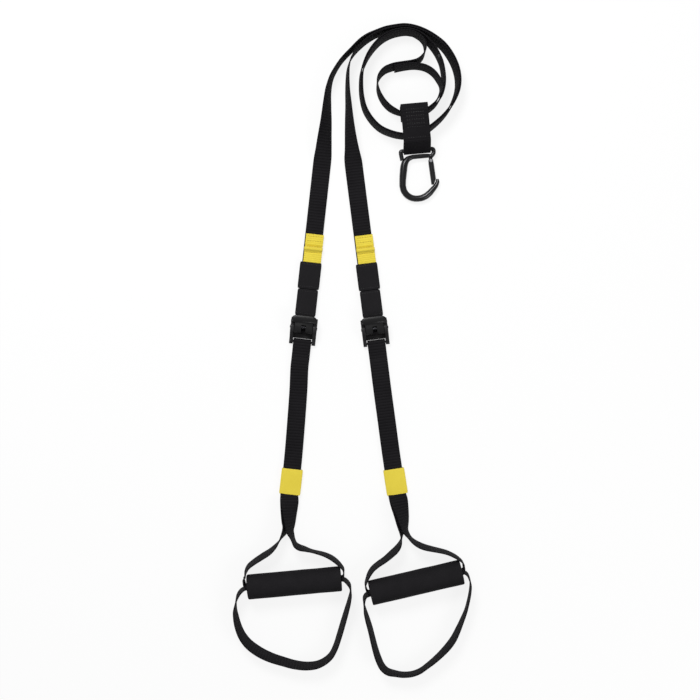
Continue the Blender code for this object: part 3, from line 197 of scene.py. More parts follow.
COIL_PAIR = [
    (0.0381, 0.4491, -6), (0.0451, 0.4516, -6), (0.0589, 0.4544, -6), (0.0728, 0.4559, -5),
    (0.0864, 0.4539, -4), (0.0999, 0.4488, -5), (0.1137, 0.4405, -8), (0.1273, 0.4292, -9),
    (0.1393, 0.4120, -9), (0.1461, 0.3950, -9), (0.1482, 0.3793, -8), (0.1464, 0.3651, -7),
    (0.1393, 0.3477, -3), (0.1322, 0.3367, 0), (0.1222, 0.3255, 3), (0.1060, 0.3123, 5),
    (0.0967, 0.3073, 5), (0.0874, 0.3044, 4), (0.0768, 0.3029, 4), (0.0663, 0.3034, 4),
    (0.0522, 0.3069, 5), (0.0381, 0.3136, 5), (0.0262, 0.3251, 6), (0.0168, 0.3407, 6),
    (0.0126, 0.3573, 5), (0.0113, 0.3737, 5), (0.0123, 0.3921, 4), (0.0157, 0.4042, 2),
    (0.0218, 0.4170, -2), (0.0299, 0.4285, -4), (0.0399, 0.4384, -5), (0.0521, 0.4456, -6),
    (0.0640, 0.4491, -6), (0.0754, 0.4503, -5), (0.0853, 0.4486, -4),
]
RING = [
    (0.0927, 0.4469, -4), (0.1006, 0.4412, -6), (0.1086, 0.4329, -9), (0.1151, 0.4245, -9),
    (0.1202, 0.4155, -8), (0.1245, 0.4049, -8), (0.1272, 0.3907, -8), (0.1279, 0.3793, -8),
    (0.1268, 0.3680, -6), (0.1236, 0.3573, -4, 0.0008), (0.1174, 0.3474, 0, 0.0017),
    (0.1109, 0.3413, 2, 0.0024), (0.1043, 0.3369, 2, 0.0024), (0.0952, 0.3328, 0, 0.0024),
    (0.0853, 0.3310, 0, 0.0024), (0.0754, 0.3319, 0, 0.0024), (0.0654, 0.3350, 4, 0.0024),
    (0.0583, 0.3383, 8, 0.0016), (0.0518, 0.3424, 10, 0.0008), (0.0461, 0.3478, 10),
    (0.0407, 0.3552, 9), (0.0366, 0.3637, 7), (0.0345, 0.3722, 3), (0.0347, 0.3813, -3),
    (0.0387, 0.3898, -8), (0.0454, 0.3961, -11), (0.0526, 0.3992, -12), (0.0589, 0.4011, -12),
    (0.0729, 0.4036, -10), (0.0839, 0.4056, -9), (0.0913, 0.4083, -8), (0.0971, 0.4134, -5),
    (0.1008, 0.4199, 0), (0.1019, 0.4273, 4), (0.1005, 0.4344, 5), (0.0958, 0.4407, 4),
    (0.0900, 0.4448, 4),
]
SHOULDERS = {
    "left": [
        (0.0310, 0.4476, 6), (0.0207, 0.4432, 6), (0.0103, 0.4364, 5), (-0.0035, 0.4229, 4),
        (-0.0154, 0.4103, 4), (-0.0240, 0.3978, 5), (-0.0304, 0.3850, 8), (-0.0346, 0.3681, 15),
        (-0.0365, 0.3470, 24), (-0.0378, 0.3258, 34), (-0.0398, 0.3046, 46),
        (-0.0417, 0.2835, 61, 0.0006),
    ],
    "right": [
        (0.0309, 0.4448, 5), (0.0200, 0.4378, 4), (0.0107, 0.4296, 2), (0.0022, 0.4201, -1),
        (-0.0036, 0.4103, -4), (-0.0066, 0.3992, -7), (-0.0076, 0.3879, -9), (-0.0076, 0.3681, -12),
        (-0.0063, 0.3470, -18), (-0.0052, 0.3258, -26), (-0.0036, 0.3046, -36),
        (-0.0014, 0.2835, -50, 0.0006),
    ],
}
RING_MEETING = 14


def speckle(tree, scale, detail=3.0):
    """Fine noise fixed to the piece."""
    place = tree.nodes.new("ShaderNodeTexCoord")
    grain = tree.nodes.new("ShaderNodeTexNoise")
    grain.inputs["Scale"].default_value = scale
    grain.inputs["Detail"].default_value = detail
    tree.links.new(place.outputs["Object"], grain.inputs["Vector"])
    return grain.outputs["Fac"]


def between(tree, share, low, high):
    """A colour between two, by a share."""
    mix = tree.nodes.new("ShaderNodeMix")
    mix.data_type = "RGBA"
    mix.clamp_factor = True
    mix.inputs["A"].default_value = low
    mix.inputs["B"].default_value = high
    tree.links.new(share, mix.inputs["Factor"])
    return mix.outputs["Result"]


def mottled(tree, grain, roughness, spread):
    """A roughness that varies with a grain."""
    return maths(tree, "ADD", maths(tree, "MULTIPLY", grain, spread), roughness - spread / 2)


def embossed(tree, shader, height, strength, depth):
    """Relief on a material's surface, from a height."""
    bump = tree.nodes.new("ShaderNodeBump")
    bump.inputs["Strength"].default_value = strength
    bump.inputs["Distance"].default_value = depth
    tree.links.new(height, bump.inputs["Height"])
    tree.links.new(bump.outputs["Normal"], shader.inputs["Normal"])


def woven(name, shade, thread, rib, warp, depth, roughness, sheen, gloss):
    """Ribbed webbing: its weave follows the strap by a map in metres."""
    mat, tree, shader = new_finish(name)
    shader.inputs["Sheen Weight"].default_value = sheen
    shader.inputs["Specular IOR Level"].default_value = gloss
    weave = tree.nodes.new("ShaderNodeUVMap")
    weave.uv_map = "weave"
    parts = tree.nodes.new("ShaderNodeSeparateXYZ")
    tree.links.new(weave.outputs[0], parts.inputs[0])
    along = maths(tree, "MULTIPLY", parts.outputs["X"], 2 * math.pi / rib)
    across = maths(tree, "MULTIPLY", parts.outputs["Y"], 2 * math.pi / warp)
    ribs = maths(tree, "SINE", along)
    fine = maths(tree, "SINE", maths(tree, "MULTIPLY", along, 2.0))
    threads = maths(tree, "MULTIPLY", maths(tree, "SINE", across), maths(tree, "SINE", along))
    height = maths(tree, "MULTIPLY_ADD", ribs, RIB_SHARE)
    height.node.inputs[2].default_value = 0.5
    fuzz = speckle(tree, FUZZ_GRAIN)
    for layer, amount in ((fine, FINE_SHARE), (threads, THREAD_SHARE), (fuzz, FUZZ_SHARE)):
        height = maths(tree, "ADD", height, maths(tree, "MULTIPLY", layer, amount))
    patches = maths(tree, "MULTIPLY", speckle(tree, PATCH_GRAIN), PATCH_SHARE)
    # The colour is darker where the weave is low, as painted shade in its grooves, added to random
    # patches of tone.
    tone_and_shade = maths(tree, "ADD", maths(tree, "MULTIPLY", height, GROOVE_SHADE_SHARE), patches)
    tone_and_shade = maths(tree, "SUBTRACT", tone_and_shade, TONE_DROP)
    tree.links.new(between(tree, tone_and_shade, shade, thread), shader.inputs["Base Color"])
    tree.links.new(mottled(tree, fuzz, roughness, CLOTH_MOTTLE), shader.inputs["Roughness"])
    embossed(tree, shader, height, strength=0.9, depth=depth)
    return mat


def filled(points):
    """Route points with the tilt and lift that they leave out."""
    return [tuple(p) + (0.0,) * (4 - len(p)) for p in points]


def turned_back(points):
    """A route walked the other way."""
    return [(x, y, -tilt, lift) for x, y, tilt, lift in reversed(filled(points))]


def knot(p, q, low, high, t):
    """The place at t on the line that passes p at low and q at high."""
    return p * ((high - t) / (high - low)) + q * ((t - low) / (high - low))


def smooth_route(points, step=STEP):
    """Evenly spaced stations on a smooth line through the points of a route."""
    points = filled(points)
    plane = [Vector(p[:2]) for p in points]
    plane = [2 * plane[0] - plane[1]] + plane + [2 * plane[-1] - plane[-2]]
    dense = [points[0]]
    for i, (start, end) in enumerate(zip(points, points[1:])):
        p0, p1, p2, p3 = plane[i:i + 4]
        t0 = 0.0
        t1 = t0 + (p1 - p0).length ** 0.5
        t2 = t1 + (p2 - p1).length ** 0.5
        t3 = t2 + (p3 - p2).length ** 0.5
        count = max(2, math.ceil((p2 - p1).length / DENSE_STEP))
        line = [p1]
        for k in range(1, count + 1):
            t = t1 + (t2 - t1) * k / count
            a1, a2, a3 = knot(p0, p1, t0, t1, t), knot(p1, p2, t1, t2, t), knot(p2, p3, t2, t3, t)
            b1, b2 = knot(a1, a2, t0, t2, t), knot(a2, a3, t1, t3, t)
            line.append(knot(b1, b2, t1, t2, t))
        lengths = [(b - a).length for a, b in zip(line, line[1:])]
        run = 0.0
        for at, length in zip(line[1:], lengths):
            run += length
            share = run / sum(lengths)
            rest = [a + (b - a) * share for a, b in zip(start[2:], end[2:])]
            dense.append((at.x, at.y, *rest))
    stations, run = [dense[0]], 0.0
    for before, here in zip(dense, dense[1:]):
        run += (Vector(here[:2]) - Vector(before[:2])).length
        if run >= step:
            stations.append(here)
            run = 0.0
    stations = (stations[:-1] if run < step / 2 else stations) + [dense[-1]]
    for _ in range(EVENING_PASSES):
        inner = zip(stations, stations[1:], stations[2:])
        evened = [(*b[:2], *((p + 2 * q + r) / 4 for p, q, r in zip(a[2:], b[2:], c[2:])))
                  for a, b, c in inner]
        stations = stations[:1] + evened + stations[-1:]
    return stations


def shifted(points, aside, twist_gap=0.0):
    """A route's layer, left of travel or above, and further off where the route twists."""
    points = filled(points)
    moved = []
    for before, here, after in zip(points[:1] + points, points, points[1:] + points[-1:]):
        ahead = (Vector(after[:2]) - Vector(before[:2])).normalized()
        x, y, tilt, lift = here
        off = aside + twist_gap * min(1.0, TWIST_SPREAD * abs(math.cos(math.radians(tilt))))
        sideways = off * math.cos(math.radians(tilt))
        rise = (PITCH / 2 + off) * abs(math.sin(math.radians(tilt)))
        moved.append((x - ahead.y * sideways, y + ahead.x * sideways, tilt, lift + rise))
    return moved


def on_leg(side, along):
    """A point of a side's leg, at a distance up it from the buckle's middle."""
    x, y, turn = LEGS[side]
    turn = math.radians(turn)
    return x - along * math.sin(turn), y + along * math.cos(turn)


def section(width, thickness, corner):
    """A rounded rectangle of (across, out) points."""
    points = []
    for sx, sy, start in ((1, 1, 0), (-1, 1, 90), (-1, -1, 180), (1, -1, 270)):
        for k in range(CORNER_STEPS + 1):
            a = math.radians(start + 90 * k / CORNER_STEPS)
            points.append((sx * (width / 2 - corner) + corner * math.cos(a),
                           sy * (thickness / 2 - corner) + corner * math.sin(a)))
    return points


def finished(bm, name, finish, sharp=None):
    """A piece from a worked mesh, shaded smooth, but for edges sharper than an angle."""
    bmesh.ops.recalc_face_normals(bm, faces=bm.faces)
    mesh = bpy.data.meshes.new(name)
    bm.to_mesh(mesh)
    bm.free()
    mesh.shade_smooth()
    if sharp:
        mesh.set_sharp_from_angle(angle=math.radians(sharp))
    mesh.materials.append(finish)
    piece = bpy.data.objects.new(name, mesh)
    bpy.context.scene.collection.objects.link(piece)
    return piece


def girth(outline):
    """How far round an outline each of its corners is."""
    around = [0.0]
    for a, b in zip(outline, outline[1:] + outline[:1]):
        around.append(around[-1] + math.dist(a, b))
    return around


def mapped_face(bm, weave, corners):
    """A face through (vertex, place in the weave's map) corners."""
    face = bm.faces.new([vert for vert, at in corners])
    for loop, (vert, at) in zip(face.loops, corners):
        loop[weave].uv = at


def sweep(name, centres, acrosses, outline, finish):
    """A closed mesh of an outline carried along a line, with the weave's map in metres."""
    bm = bmesh.new()
    weave = bm.loops.layers.uv.new("weave")
    around, count = girth(outline), len(outline)
    rings, run, along = [], 0.0, []
    for i, (centre, across) in enumerate(zip(centres, acrosses)):
        ahead = (centres[min(i + 1, len(centres) - 1)] - centres[max(i - 1, 0)]).normalized()
        across = (across - ahead * across.dot(ahead)).normalized()
        out = ahead.cross(across)
        rings.append([bm.verts.new(centre + across * a + out * f) for a, f in outline])
        if i:
            run += (centre - centres[i - 1]).length
        along.append(run)
    for i in range(len(rings) - 1):
        for k in range(count):
            quad = ((i, k), (i, k + 1), (i + 1, k + 1), (i + 1, k))
            mapped_face(bm, weave, [(rings[j][n % count], (along[j], around[n])) for j, n in quad])
    for ring in (rings[0], rings[-1]):
        mapped_face(bm, weave, list(zip(ring, outline)))
    return finished(bm, name, finish, SHARP_FROM)


def strap(name, route, finish):
    """A strap of webbing along a route, with the line that it follows."""
    centres, acrosses = [], []
    stations = filled(route)
    for i, (x, y, tilt, lift) in enumerate(stations):
        lean = math.radians(tilt)
        z = lift + (WEB_W * abs(math.cos(lean)) + WEB_T * abs(math.sin(lean))) / 2
        before, after = stations[max(i - 1, 0)], stations[min(i + 1, len(stations) - 1)]
        ahead = Vector((after[0] - before[0], after[1] - before[1], 0.0)).normalized()
        left = Vector((-ahead.y, ahead.x, 0.0))
        centres.append(Vector((x, y, z)))
        acrosses.append(Vector((0.0, 0.0, math.cos(lean))) - left * math.sin(lean))
    return sweep(name, centres, acrosses, section(WEB_W, WEB_T, SELVEDGE), finish), centres


black_webbing = woven("black_webbing", BLACK_GROOVE_SHADE, BLACK_THREAD, rib=RIB_PITCH, warp=WARP_PITCH,
                      depth=0.00035, roughness=0.75, sheen=0.0, gloss=0.05)
coil = smooth_route(COIL_PAIR, COIL_STEP)
legs = {side: [(*on_leg(side, s), -90.0, FLAT_LIFT) for s in (STRAP_END_AT, *LEG_MARKS)]
        for side in LEGS}
left_route = legs["left"] + turned_back(SHOULDERS["left"]) + shifted(coil, PITCH / 2)
left_route += filled(RING[:RING_MEETING + 1])
right_route = filled(RING[RING_MEETING:]) + turned_back(shifted(coil, -PITCH / 2))
right_route += filled(SHOULDERS["right"]) + legs["right"][::-1]
for side, route, length in (
    ("left", left_route, LEFT_LENGTH), ("right", turned_back(right_route), RIGHT_LENGTH),
):
    main, line = strap(side + "_main_strap", smooth_route(route), black_webbing)
    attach(main, "strap")
    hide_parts("main_strap")

# The locking loop: a short webbing sewn to the inside of the main strap's ring. A pale bartack on
# the ring's east side holds the main strap to itself.
LOCKING_LOOP = [
    (0.0582, 0.3982, -12), (0.0734, 0.4008, -10), (0.0839, 0.4018, -9), (0.0924, 0.4013, -8),
    (0.1009, 0.3994, -8), (0.1087, 0.3955, -8), (0.1154, 0.3896, -8), (0.1208, 0.3819, -8),
    (0.1241, 0.3756, -8), (0.1248, 0.3694, -7), (0.1231, 0.3630, -5), (0.1199, 0.3566, -3, 0.0008),
    (0.1155, 0.3494, 0, 0.0017), (0.1091, 0.3434, 2, 0.0024), (0.1028, 0.3393, 2, 0.0024),
    (0.0947, 0.3355, 0, 0.0024), (0.0881, 0.3340, 0, 0.0024),
]
TACK_COLOUR = (0.16, 0.16, 0.165, 1.0)
THREAD_GRAIN = 3000.0
THREAD_DARK = 0.55
TACK_R = 0.00028
THREAD_SIDES = 6
THREAD_BEND = ((0.0, 0.55, -0.7), (0.25, 1.0, 0.35), (0.75, 1.0, 0.35), (1.0, 0.55, -0.7))
TACK_STEP = 0.0006
TACK_THREADS = 6
TACK_RUN = (0.0020, 0.0112)
RING_TACK = (0.1199, 0.4160, -64.4, -8.0)


def thread_finish(name, colour, roughness):
    """Twisted sewing thread."""
    mat, tree, shader = new_finish(name)
    dark = [c * THREAD_DARK for c in colour[:3]] + [1.0]
    grain = speckle(tree, THREAD_GRAIN)
    tree.links.new(between(tree, grain, dark, colour), shader.inputs["Base Color"])
    shader.inputs["Roughness"].default_value = roughness
    return mat


def sewn(name, threads, radius, finish, body):
    """Stitches: each a short thread between two points, its ends sunk into the cloth."""
    bm = bmesh.new()
    turns = [2 * math.pi * k / THREAD_SIDES for k in range(THREAD_SIDES)]
    for start, end, up in threads:
        start, end, up = Vector(start), Vector(end), Vector(up)
        ahead = (end - start).normalized()
        side = ahead.cross(up).normalized()
        rings = []
        for share, swell, rise in THREAD_BEND:
            at = start.lerp(end, share) + up * radius * rise
            rings.append([
                bm.verts.new(at + (side * math.cos(a) + up * math.sin(a)) * radius * swell)
                for a in turns
            ])
        for low, high in zip(rings, rings[1:]):
            for k in range(THREAD_SIDES):
                n = (k + 1) % THREAD_SIDES
                bm.faces.new((low[k], low[n], high[n], high[k]))
        bm.faces.new(rings[0])
        bm.faces.new(rings[-1])
    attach(finished(bm, name, finish), body)


locking, line = strap("locking_loop_webbing", smooth_route(LOCKING_LOOP), black_webbing)
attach(locking, "strap")
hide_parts("locking_loop")
grey_thread = thread_finish("grey_thread", TACK_COLOUR, roughness=0.6)
black_thread = thread_finish("black_thread", BLACK_THREAD, roughness=0.5)
x, y, turn, lean = RING_TACK
turn, lean = math.radians(turn), math.radians(lean)
ahead = Vector((math.cos(turn), math.sin(turn), 0.0))
left = Vector((-ahead.y, ahead.x, 0.0))
across = Vector((0.0, 0.0, math.cos(lean))) - left * math.sin(lean)
out = ahead.cross(across)
middle = Vector((x, y, (WEB_W * math.cos(lean) - WEB_T * math.sin(lean)) / 2)) + out * WEB_T / 2
lows = [middle + ahead * TACK_STEP * k for k in range(TACK_THREADS)]
tack = [(low + across * TACK_RUN[0], low + across * TACK_RUN[1], out) for low in lows]
sewn("ring_bartack", tack, TACK_R, grey_thread, "strap")

# The anchor tab: one 38 mm webbing folded round the carabiner's bar and round the main strap's
# ring, and sewn to itself. Its upper layer shows rows of ridges where it is sewn, and a seam.
TAB_W = 0.0381
TAB_T = 0.0020
TAB_END = 0.0626
TAB_LOOP = 0.0192
TAB_LAYER_GAP = 0.0004
TAB_DROP_Y = 0.0089
TAB_SLOPES = (58.9, 71.4)
TAB_BEND = 0.0028
SEAM_GAP = 0.0005
SEAT_GAP = 0.0003
LOOP_LIFT = 0.0024
FLOOR_GAP = 0.0002
EYE_R = 0.0030
EYE_Z = 0.0060
WRAP_GAP = 0.00035
FOLD_STEP = 0.0007
LEAST_STEP = 0.000001
ANCHOR = (0.0907, 0.2845, 5.0)
RIDGES = (0.0310, 0.0365, 0.0420, 0.0470, 0.0520)
RIDGE_HALF = 0.0014
RIDGE_RISE = 0.0008
SEAM_AT = 0.0124
SEAM_HALF = 0.0011
SEAM_ROW_AT = 0.0144
TAB_RIB = 0.0016
ARC_STEPS = 24
BEND_STEPS = 6
BEND_LIMIT = 0.45


def frame_at(place):
    """The world frame of a flat-lying piece: x, y and turn in degrees."""
    x, y, turn = place
    return Matrix.Translation((x, y, 0.0)) @ Matrix.Rotation(math.radians(turn), 4, "Z")


def arc(centre, radius, start, end):
    """Points on an arc in a plane, with the angles in degrees."""
    angles = [math.radians(start + (end - start) * i / ARC_STEPS) for i in range(ARC_STEPS + 1)]
    return [(centre[0] + radius * math.cos(a), centre[1] + radius * math.sin(a)) for a in angles]


def rounded(points, radius):
    """An open line of points with its inner corners rounded."""
    path = [Vector(points[0])]
    for before, corner, after in zip(points, points[1:], points[2:]):
        before, corner, after = Vector(before), Vector(corner), Vector(after)
        back, ahead = before - corner, after - corner
        cut = min(radius, back.length * BEND_LIMIT, ahead.length * BEND_LIMIT)
        start, end = corner + back.normalized() * cut, corner + ahead.normalized() * cut
        for i in range(BEND_STEPS + 1):
            t = i / BEND_STEPS
            path.append(start * (1 - t) ** 2 + corner * 2 * t * (1 - t) + end * t ** 2)
    path.append(Vector(points[-1]))
    return path


def stepped(path):
    """A line with stations no further apart than a fold's step."""
    line = [path[0]]
    for a, b in zip(path, path[1:]):
        count = max(1, math.ceil((b - a).length / FOLD_STEP))
        line += [a.lerp(b, k / count) for k in range(1, count + 1)]
    return [p for p, q in zip(line, line[1:]) if (q - p).length > LEAST_STEP] + [line[-1]]


def folded(name, path, width, thickness, place, finish):
    """Webbing folded along (y, z) points in a piece's frame, spread along its X."""
    centres = [place @ Vector((0.0, y, z)) for y, z in path]
    across = place.to_3x3() @ Vector((1.0, 0.0, 0.0))
    outline = section(width, thickness, SELVEDGE)
    return sweep(name, centres, [across] * len(centres), outline, finish)


def ridged(path, heights):
    """A path whose top run is raised at each ridge."""
    raised = []
    for point in path:
        y, z = point
        if z > top_z - TAB_T / 4:
            for at, half, rise in heights:
                if abs(y - at) < half:
                    z += rise * (0.5 + 0.5 * math.cos(math.pi * (y - at) / half))
        raised.append(Vector((y, z)))
    return raised


tab_webbing = woven("tab_webbing", BLACK_GROOVE_SHADE, BLACK_THREAD, rib=TAB_RIB, warp=WARP_PITCH,
                    depth=0.00025, roughness=0.7, sheen=0.0, gloss=0.05)
top_z = LOOP_LIFT + WEB_W + SEAT_GAP + TAB_T / 2 + TAB_LAYER_GAP
under_z = top_z - TAB_T - TAB_LAYER_GAP
floor_z = FLOOR_GAP + TAB_T / 2
end_y = TAB_END - TAB_T / 2
wall_y = end_y - TAB_LOOP
wrap_r = EYE_R + WRAP_GAP + TAB_T / 2
seam_y = (wall_y + TAB_DROP_Y) / 2 + SEAM_GAP
tab_path = rounded(
    [(seam_y, under_z), (wall_y, under_z), (wall_y, floor_z), (end_y, floor_z), (end_y, top_z),
     (TAB_DROP_Y, top_z)],
    TAB_BEND,
)[:-1]
tab_path += rounded(
    [(TAB_DROP_Y + TAB_BEND, top_z), (TAB_DROP_Y, top_z)]
    + arc((0.0, EYE_Z), wrap_r, 90.0 + TAB_SLOPES[0], 270.0 + TAB_SLOPES[1])
    + [(TAB_DROP_Y + TAB_T + TAB_LAYER_GAP, under_z), (seam_y - SEAM_GAP, under_z)],
    TAB_BEND,
)
tab_place = frame_at(ANCHOR)
heights = [(at, RIDGE_HALF, RIDGE_RISE) for at in RIDGES] + [(SEAM_AT, SEAM_HALF, RIDGE_RISE)]
tab = folded("anchor_tab_webbing", ridged(stepped(tab_path), heights), TAB_W, TAB_T, tab_place,
             tab_webbing)
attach(tab, "strap")
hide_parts("anchor_tab")
STITCH = 0.0024
STITCH_GAP = 0.0008
STITCH_SPAN = (0.12, 0.88)
STITCH_R = 0.00032
ROW_WIDTH = 0.0260
ROW_ASIDE = 0.0021


def stitch_line(place, start, end, z):
    """The stitches of one row between two points of a flat-lying piece, on its surface."""
    start, end = Vector((*start, z)), Vector((*end, z))
    count = max(1, int((end - start).length / (STITCH + STITCH_GAP)))
    up = (0.0, 0.0, 1.0)
    row = []
    for i in range(count):
        a, b = (place @ start.lerp(end, (i + share) / count) for share in STITCH_SPAN)
        row.append((a, b, up))
    return row


rows = []
half = ROW_WIDTH / 2
face_z = top_z + TAB_T / 2
for at in [at + aside for at in RIDGES for aside in (-ROW_ASIDE, ROW_ASIDE)] + [SEAM_ROW_AT]:
    rows += stitch_line(tab_place, (-half, at), (half, at), face_z)
sewn("anchor_tab_stitches", rows, STITCH_R, black_thread, "strap")

# The carabiner: a cast aluminium snap hook, anodised black. Its eye is a straight bar that the tab
# wraps, and its gate turns on a steel rivet and is sprung shut against the nose.
ANODISED = (0.008, 0.008, 0.009, 1.0)
ANODISED_WORN = (0.025, 0.025, 0.028, 1.0)
STEEL_COLOUR = (0.52, 0.52, 0.54, 1.0)
STEEL_DARK = (0.30, 0.30, 0.32, 1.0)
WEAR_GRAIN = 90.0
WEAR_POWER = 3.0
METAL_MOTTLE = 0.16
COAT_ROUGHNESS = 0.15
WELD_GAP = 0.000002
FLAT_ANGLE = 0.5
FACET_ANGLE = 35.0


def metal(name, colour, worn, roughness, metallic, grain, depth, coat=0.0, gloss=0.5):
    """Metal with a fine grain, and worn paler in patches."""
    mat, tree, shader = new_finish(name)
    shader.inputs["Metallic"].default_value = metallic
    shader.inputs["Specular IOR Level"].default_value = gloss
    shader.inputs["Coat Weight"].default_value = coat
    shader.inputs["Coat Roughness"].default_value = COAT_ROUGHNESS
    patches = maths(tree, "POWER", speckle(tree, WEAR_GRAIN, detail=6.0), WEAR_POWER)
    tree.links.new(between(tree, patches, colour, worn), shader.inputs["Base Color"])
    fine = speckle(tree, grain, detail=4.0)
    tree.links.new(mottled(tree, fine, roughness, METAL_MOTTLE), shader.inputs["Roughness"])
    embossed(tree, shader, fine, strength=0.5, depth=depth)
    return mat


def smoothed(node, body, finish):
    """A node's own shape with its facets shaded round."""
    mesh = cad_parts[node].data.copy()
    bm = bmesh.new()
    bm.from_mesh(mesh)
    bmesh.ops.remove_doubles(bm, verts=bm.verts, dist=WELD_GAP)
    bmesh.ops.dissolve_limit(bm, angle_limit=math.radians(FLAT_ANGLE), verts=bm.verts,
                             edges=bm.edges)
    bm.to_mesh(mesh)
    bm.free()
    mesh.shade_smooth()
    mesh.set_sharp_from_angle(angle=math.radians(FACET_ANGLE))
    mesh.materials.clear()
    mesh.materials.append(finish)
    piece = bpy.data.objects.new(node + "_finished", mesh)
    bpy.context.scene.collection.objects.link(piece)
    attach(piece, body)
    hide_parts(node)


anodised = metal("black_anodising", ANODISED, ANODISED_WORN, roughness=0.30, metallic=0.6,
                 grain=1800.0, depth=0.00004, coat=0.25)
steel = metal("bright_steel", STEEL_COLOUR, STEEL_DARK, roughness=0.26, metallic=1.0,
              grain=2500.0, depth=0.00002)
for node, body, finish, slot in (
    ("carabiner_frame", "carabiner", anodised, "carabiner_metal"),
    ("carabiner_gate", "carabiner_gate", anodised, "carabiner_metal"),
    ("gate_rivet", "carabiner", steel, "steel"),
    ("gate_spring", "carabiner_gate", steel, "steel"),
    ("gate_plunger", "carabiner_gate", steel, "steel"),
):
    smoothed(node, body, finish)

# The cam buckles: a stamped steel frame with a toothed lever on a pin, all powder coated black.
# The webbing runs round the frame's roller and is bitten by the lever's teeth. The spring is bare.
PAINT = (0.008, 0.0075, 0.0085, 1.0)
PAINT_WORN = (0.03, 0.03, 0.032, 1.0)
LEVER_PAINT = (0.005, 0.005, 0.0055, 1.0)
SPRING_COLOUR = (0.05, 0.05, 0.055, 1.0)
SPRING_DARK = (0.02, 0.02, 0.022, 1.0)
painted = metal("black_powder_coat", PAINT, PAINT_WORN, roughness=0.45, metallic=0.0,
                grain=1500.0, depth=0.00008, gloss=0.25)
lever_paint = metal("black_lever_paint", LEVER_PAINT, PAINT, roughness=0.38, metallic=0.0,
                    grain=1500.0, depth=0.00006, gloss=0.25)
dark_steel = metal("dark_spring_steel", SPRING_COLOUR, SPRING_DARK, roughness=0.4, metallic=1.0,
                   grain=2500.0, depth=0.00002)
for side in LEGS:
    for piece, body, finish, slot in (
        ("buckle_frame", "handle", painted, "painted_metal"),
        ("cam_pin", "handle", dark_steel, "steel"),
        ("cam_lever", "cam", lever_paint, "painted_metal"),
        ("cam_spring", "cam", dark_steel, "steel"),
    ):
        smoothed(side + "_" + piece, side + "_" + body, finish)

# The free end of the strap: down from the leg through the sleeve, round the roller and back up to
# the yellow tab.
SLEEVE_START = 0.0217
SLEEVE_END = 0.0590
KEEPER_END = 0.0975
DROP_START = 0.0080
DROP_END = 0.0050
STRAP_BEND = 0.0080
BLEND_LOW = 0.0040
BLEND_HIGH = 0.0020
TUCK = 0.0060
PLATE_T = 0.0016
ROLLER_R = 0.0014
ROLLER_Y = -0.0010
roller_wrap = ROLLER_R + WRAP_GAP + WEB_T / 2
roller_z = FLOOR_GAP + PLATE_T + SEAT_GAP + WEB_T / 2 + roller_wrap
tail_z = roller_z + roller_wrap
leg_z = FLAT_LIFT + WEB_T / 2
keeper_tail_z = leg_z + PITCH
for side, leg in LEGS.items():
    place = frame_at(leg)
    down = rounded(
        [(STRAP_END_AT - SEAT_GAP, leg_z), (SLEEVE_START + DROP_START, leg_z),
         (SLEEVE_START - DROP_END, roller_z - roller_wrap), (ROLLER_Y, roller_z - roller_wrap)],
        STRAP_BEND,
    )
    back = [Vector(p) for p in arc((ROLLER_Y, roller_z), roller_wrap, 270.0, 90.0)]
    back += rounded(
        [(ROLLER_Y, tail_z), (SLEEVE_START, tail_z), (SLEEVE_END + SEAT_GAP, keeper_tail_z),
         (KEEPER_END - TUCK - SEAT_GAP, keeper_tail_z)],
        STRAP_BEND,
    )[1:]
    for name, path, bodies, marks in (
        ("leg_end", down, (side + "_handle", "strap"),
         (SLEEVE_START + BLEND_LOW, STRAP_END_AT - BLEND_HIGH)),
        ("free_end", back, (side + "_handle", side + "_adjuster"),
         (SLEEVE_START, KEEPER_END - TUCK * 2)),
    ):
        end = folded(side + "_" + name, stepped(path), WEB_W, WEB_T, place, black_webbing)
        low, high = (place @ Vector((0.0, s, leg_z)) for s in marks)
        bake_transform(end)
        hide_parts(side + "_strap_end")

# The sleeves on each leg: a flat woven tube above the buckle, and a second that keeps the tucked
# end of the yellow tab. Each is turned in and sewn at its rim.
SLEEVE_W = 0.0290
KEEPER_W = 0.0305
KEEPER_GAP = 0.0010
WALL_CLOTH = 0.0009
PULL_T = 0.0022
SLEEVE_ROUND = 0.0012
SLEEVE_RIB = 0.0015
SLEEVE_STATIONS = 40
SLEEVE_SHARP_FROM = 50.0
SLEEVE_PINCH = 0.0006
PINCH_LENGTH = 0.0040
PINCH_UNDER = 0.1
PINCH_TOP = 0.35
INSIDE_ROUND = 0.6
LEAST_ROUND = 0.0002
ROW_INSET = 0.0030
ROW_MARGIN = 0.0022
FINE_STITCH_R = STITCH_R * 0.8


def tube(name, place, stations, wall, finish):
    """A flat sleeve open at both ends, through (y, half width, low, high) stations."""
    bm = bmesh.new()
    weave = bm.loops.layers.uv.new("weave")
    layers, around = [], None
    for inset in (0.0, wall):
        rings = []
        for y, half, low, high in stations:
            corner = max(min(SLEEVE_ROUND, (high - low) / 2) - inset * INSIDE_ROUND, LEAST_ROUND)
            outline = section((half - inset) * 2, high - low - inset * 2, corner)
            around = around or girth(outline)
            rings.append([(bm.verts.new(place @ Vector((a, y, (low + high) / 2 + f))), y)
                          for a, f in outline])
        layers.append(rings)
    count = len(rings[0])
    strips = [pair for rings in layers for pair in zip(rings, rings[1:])]
    strips += [(layers[0][i], layers[1][i]) for i in (0, -1)]
    for low, high in strips:
        for k in range(count):
            quad = ((low, k), (low, k + 1), (high, k + 1), (high, k))
            corners = [(*ring[n % count], around[n]) for ring, n in quad]
            mapped_face(bm, weave, [(vert, (y, turn)) for vert, y, turn in corners])
    return finished(bm, name, finish, SLEEVE_SHARP_FROM)


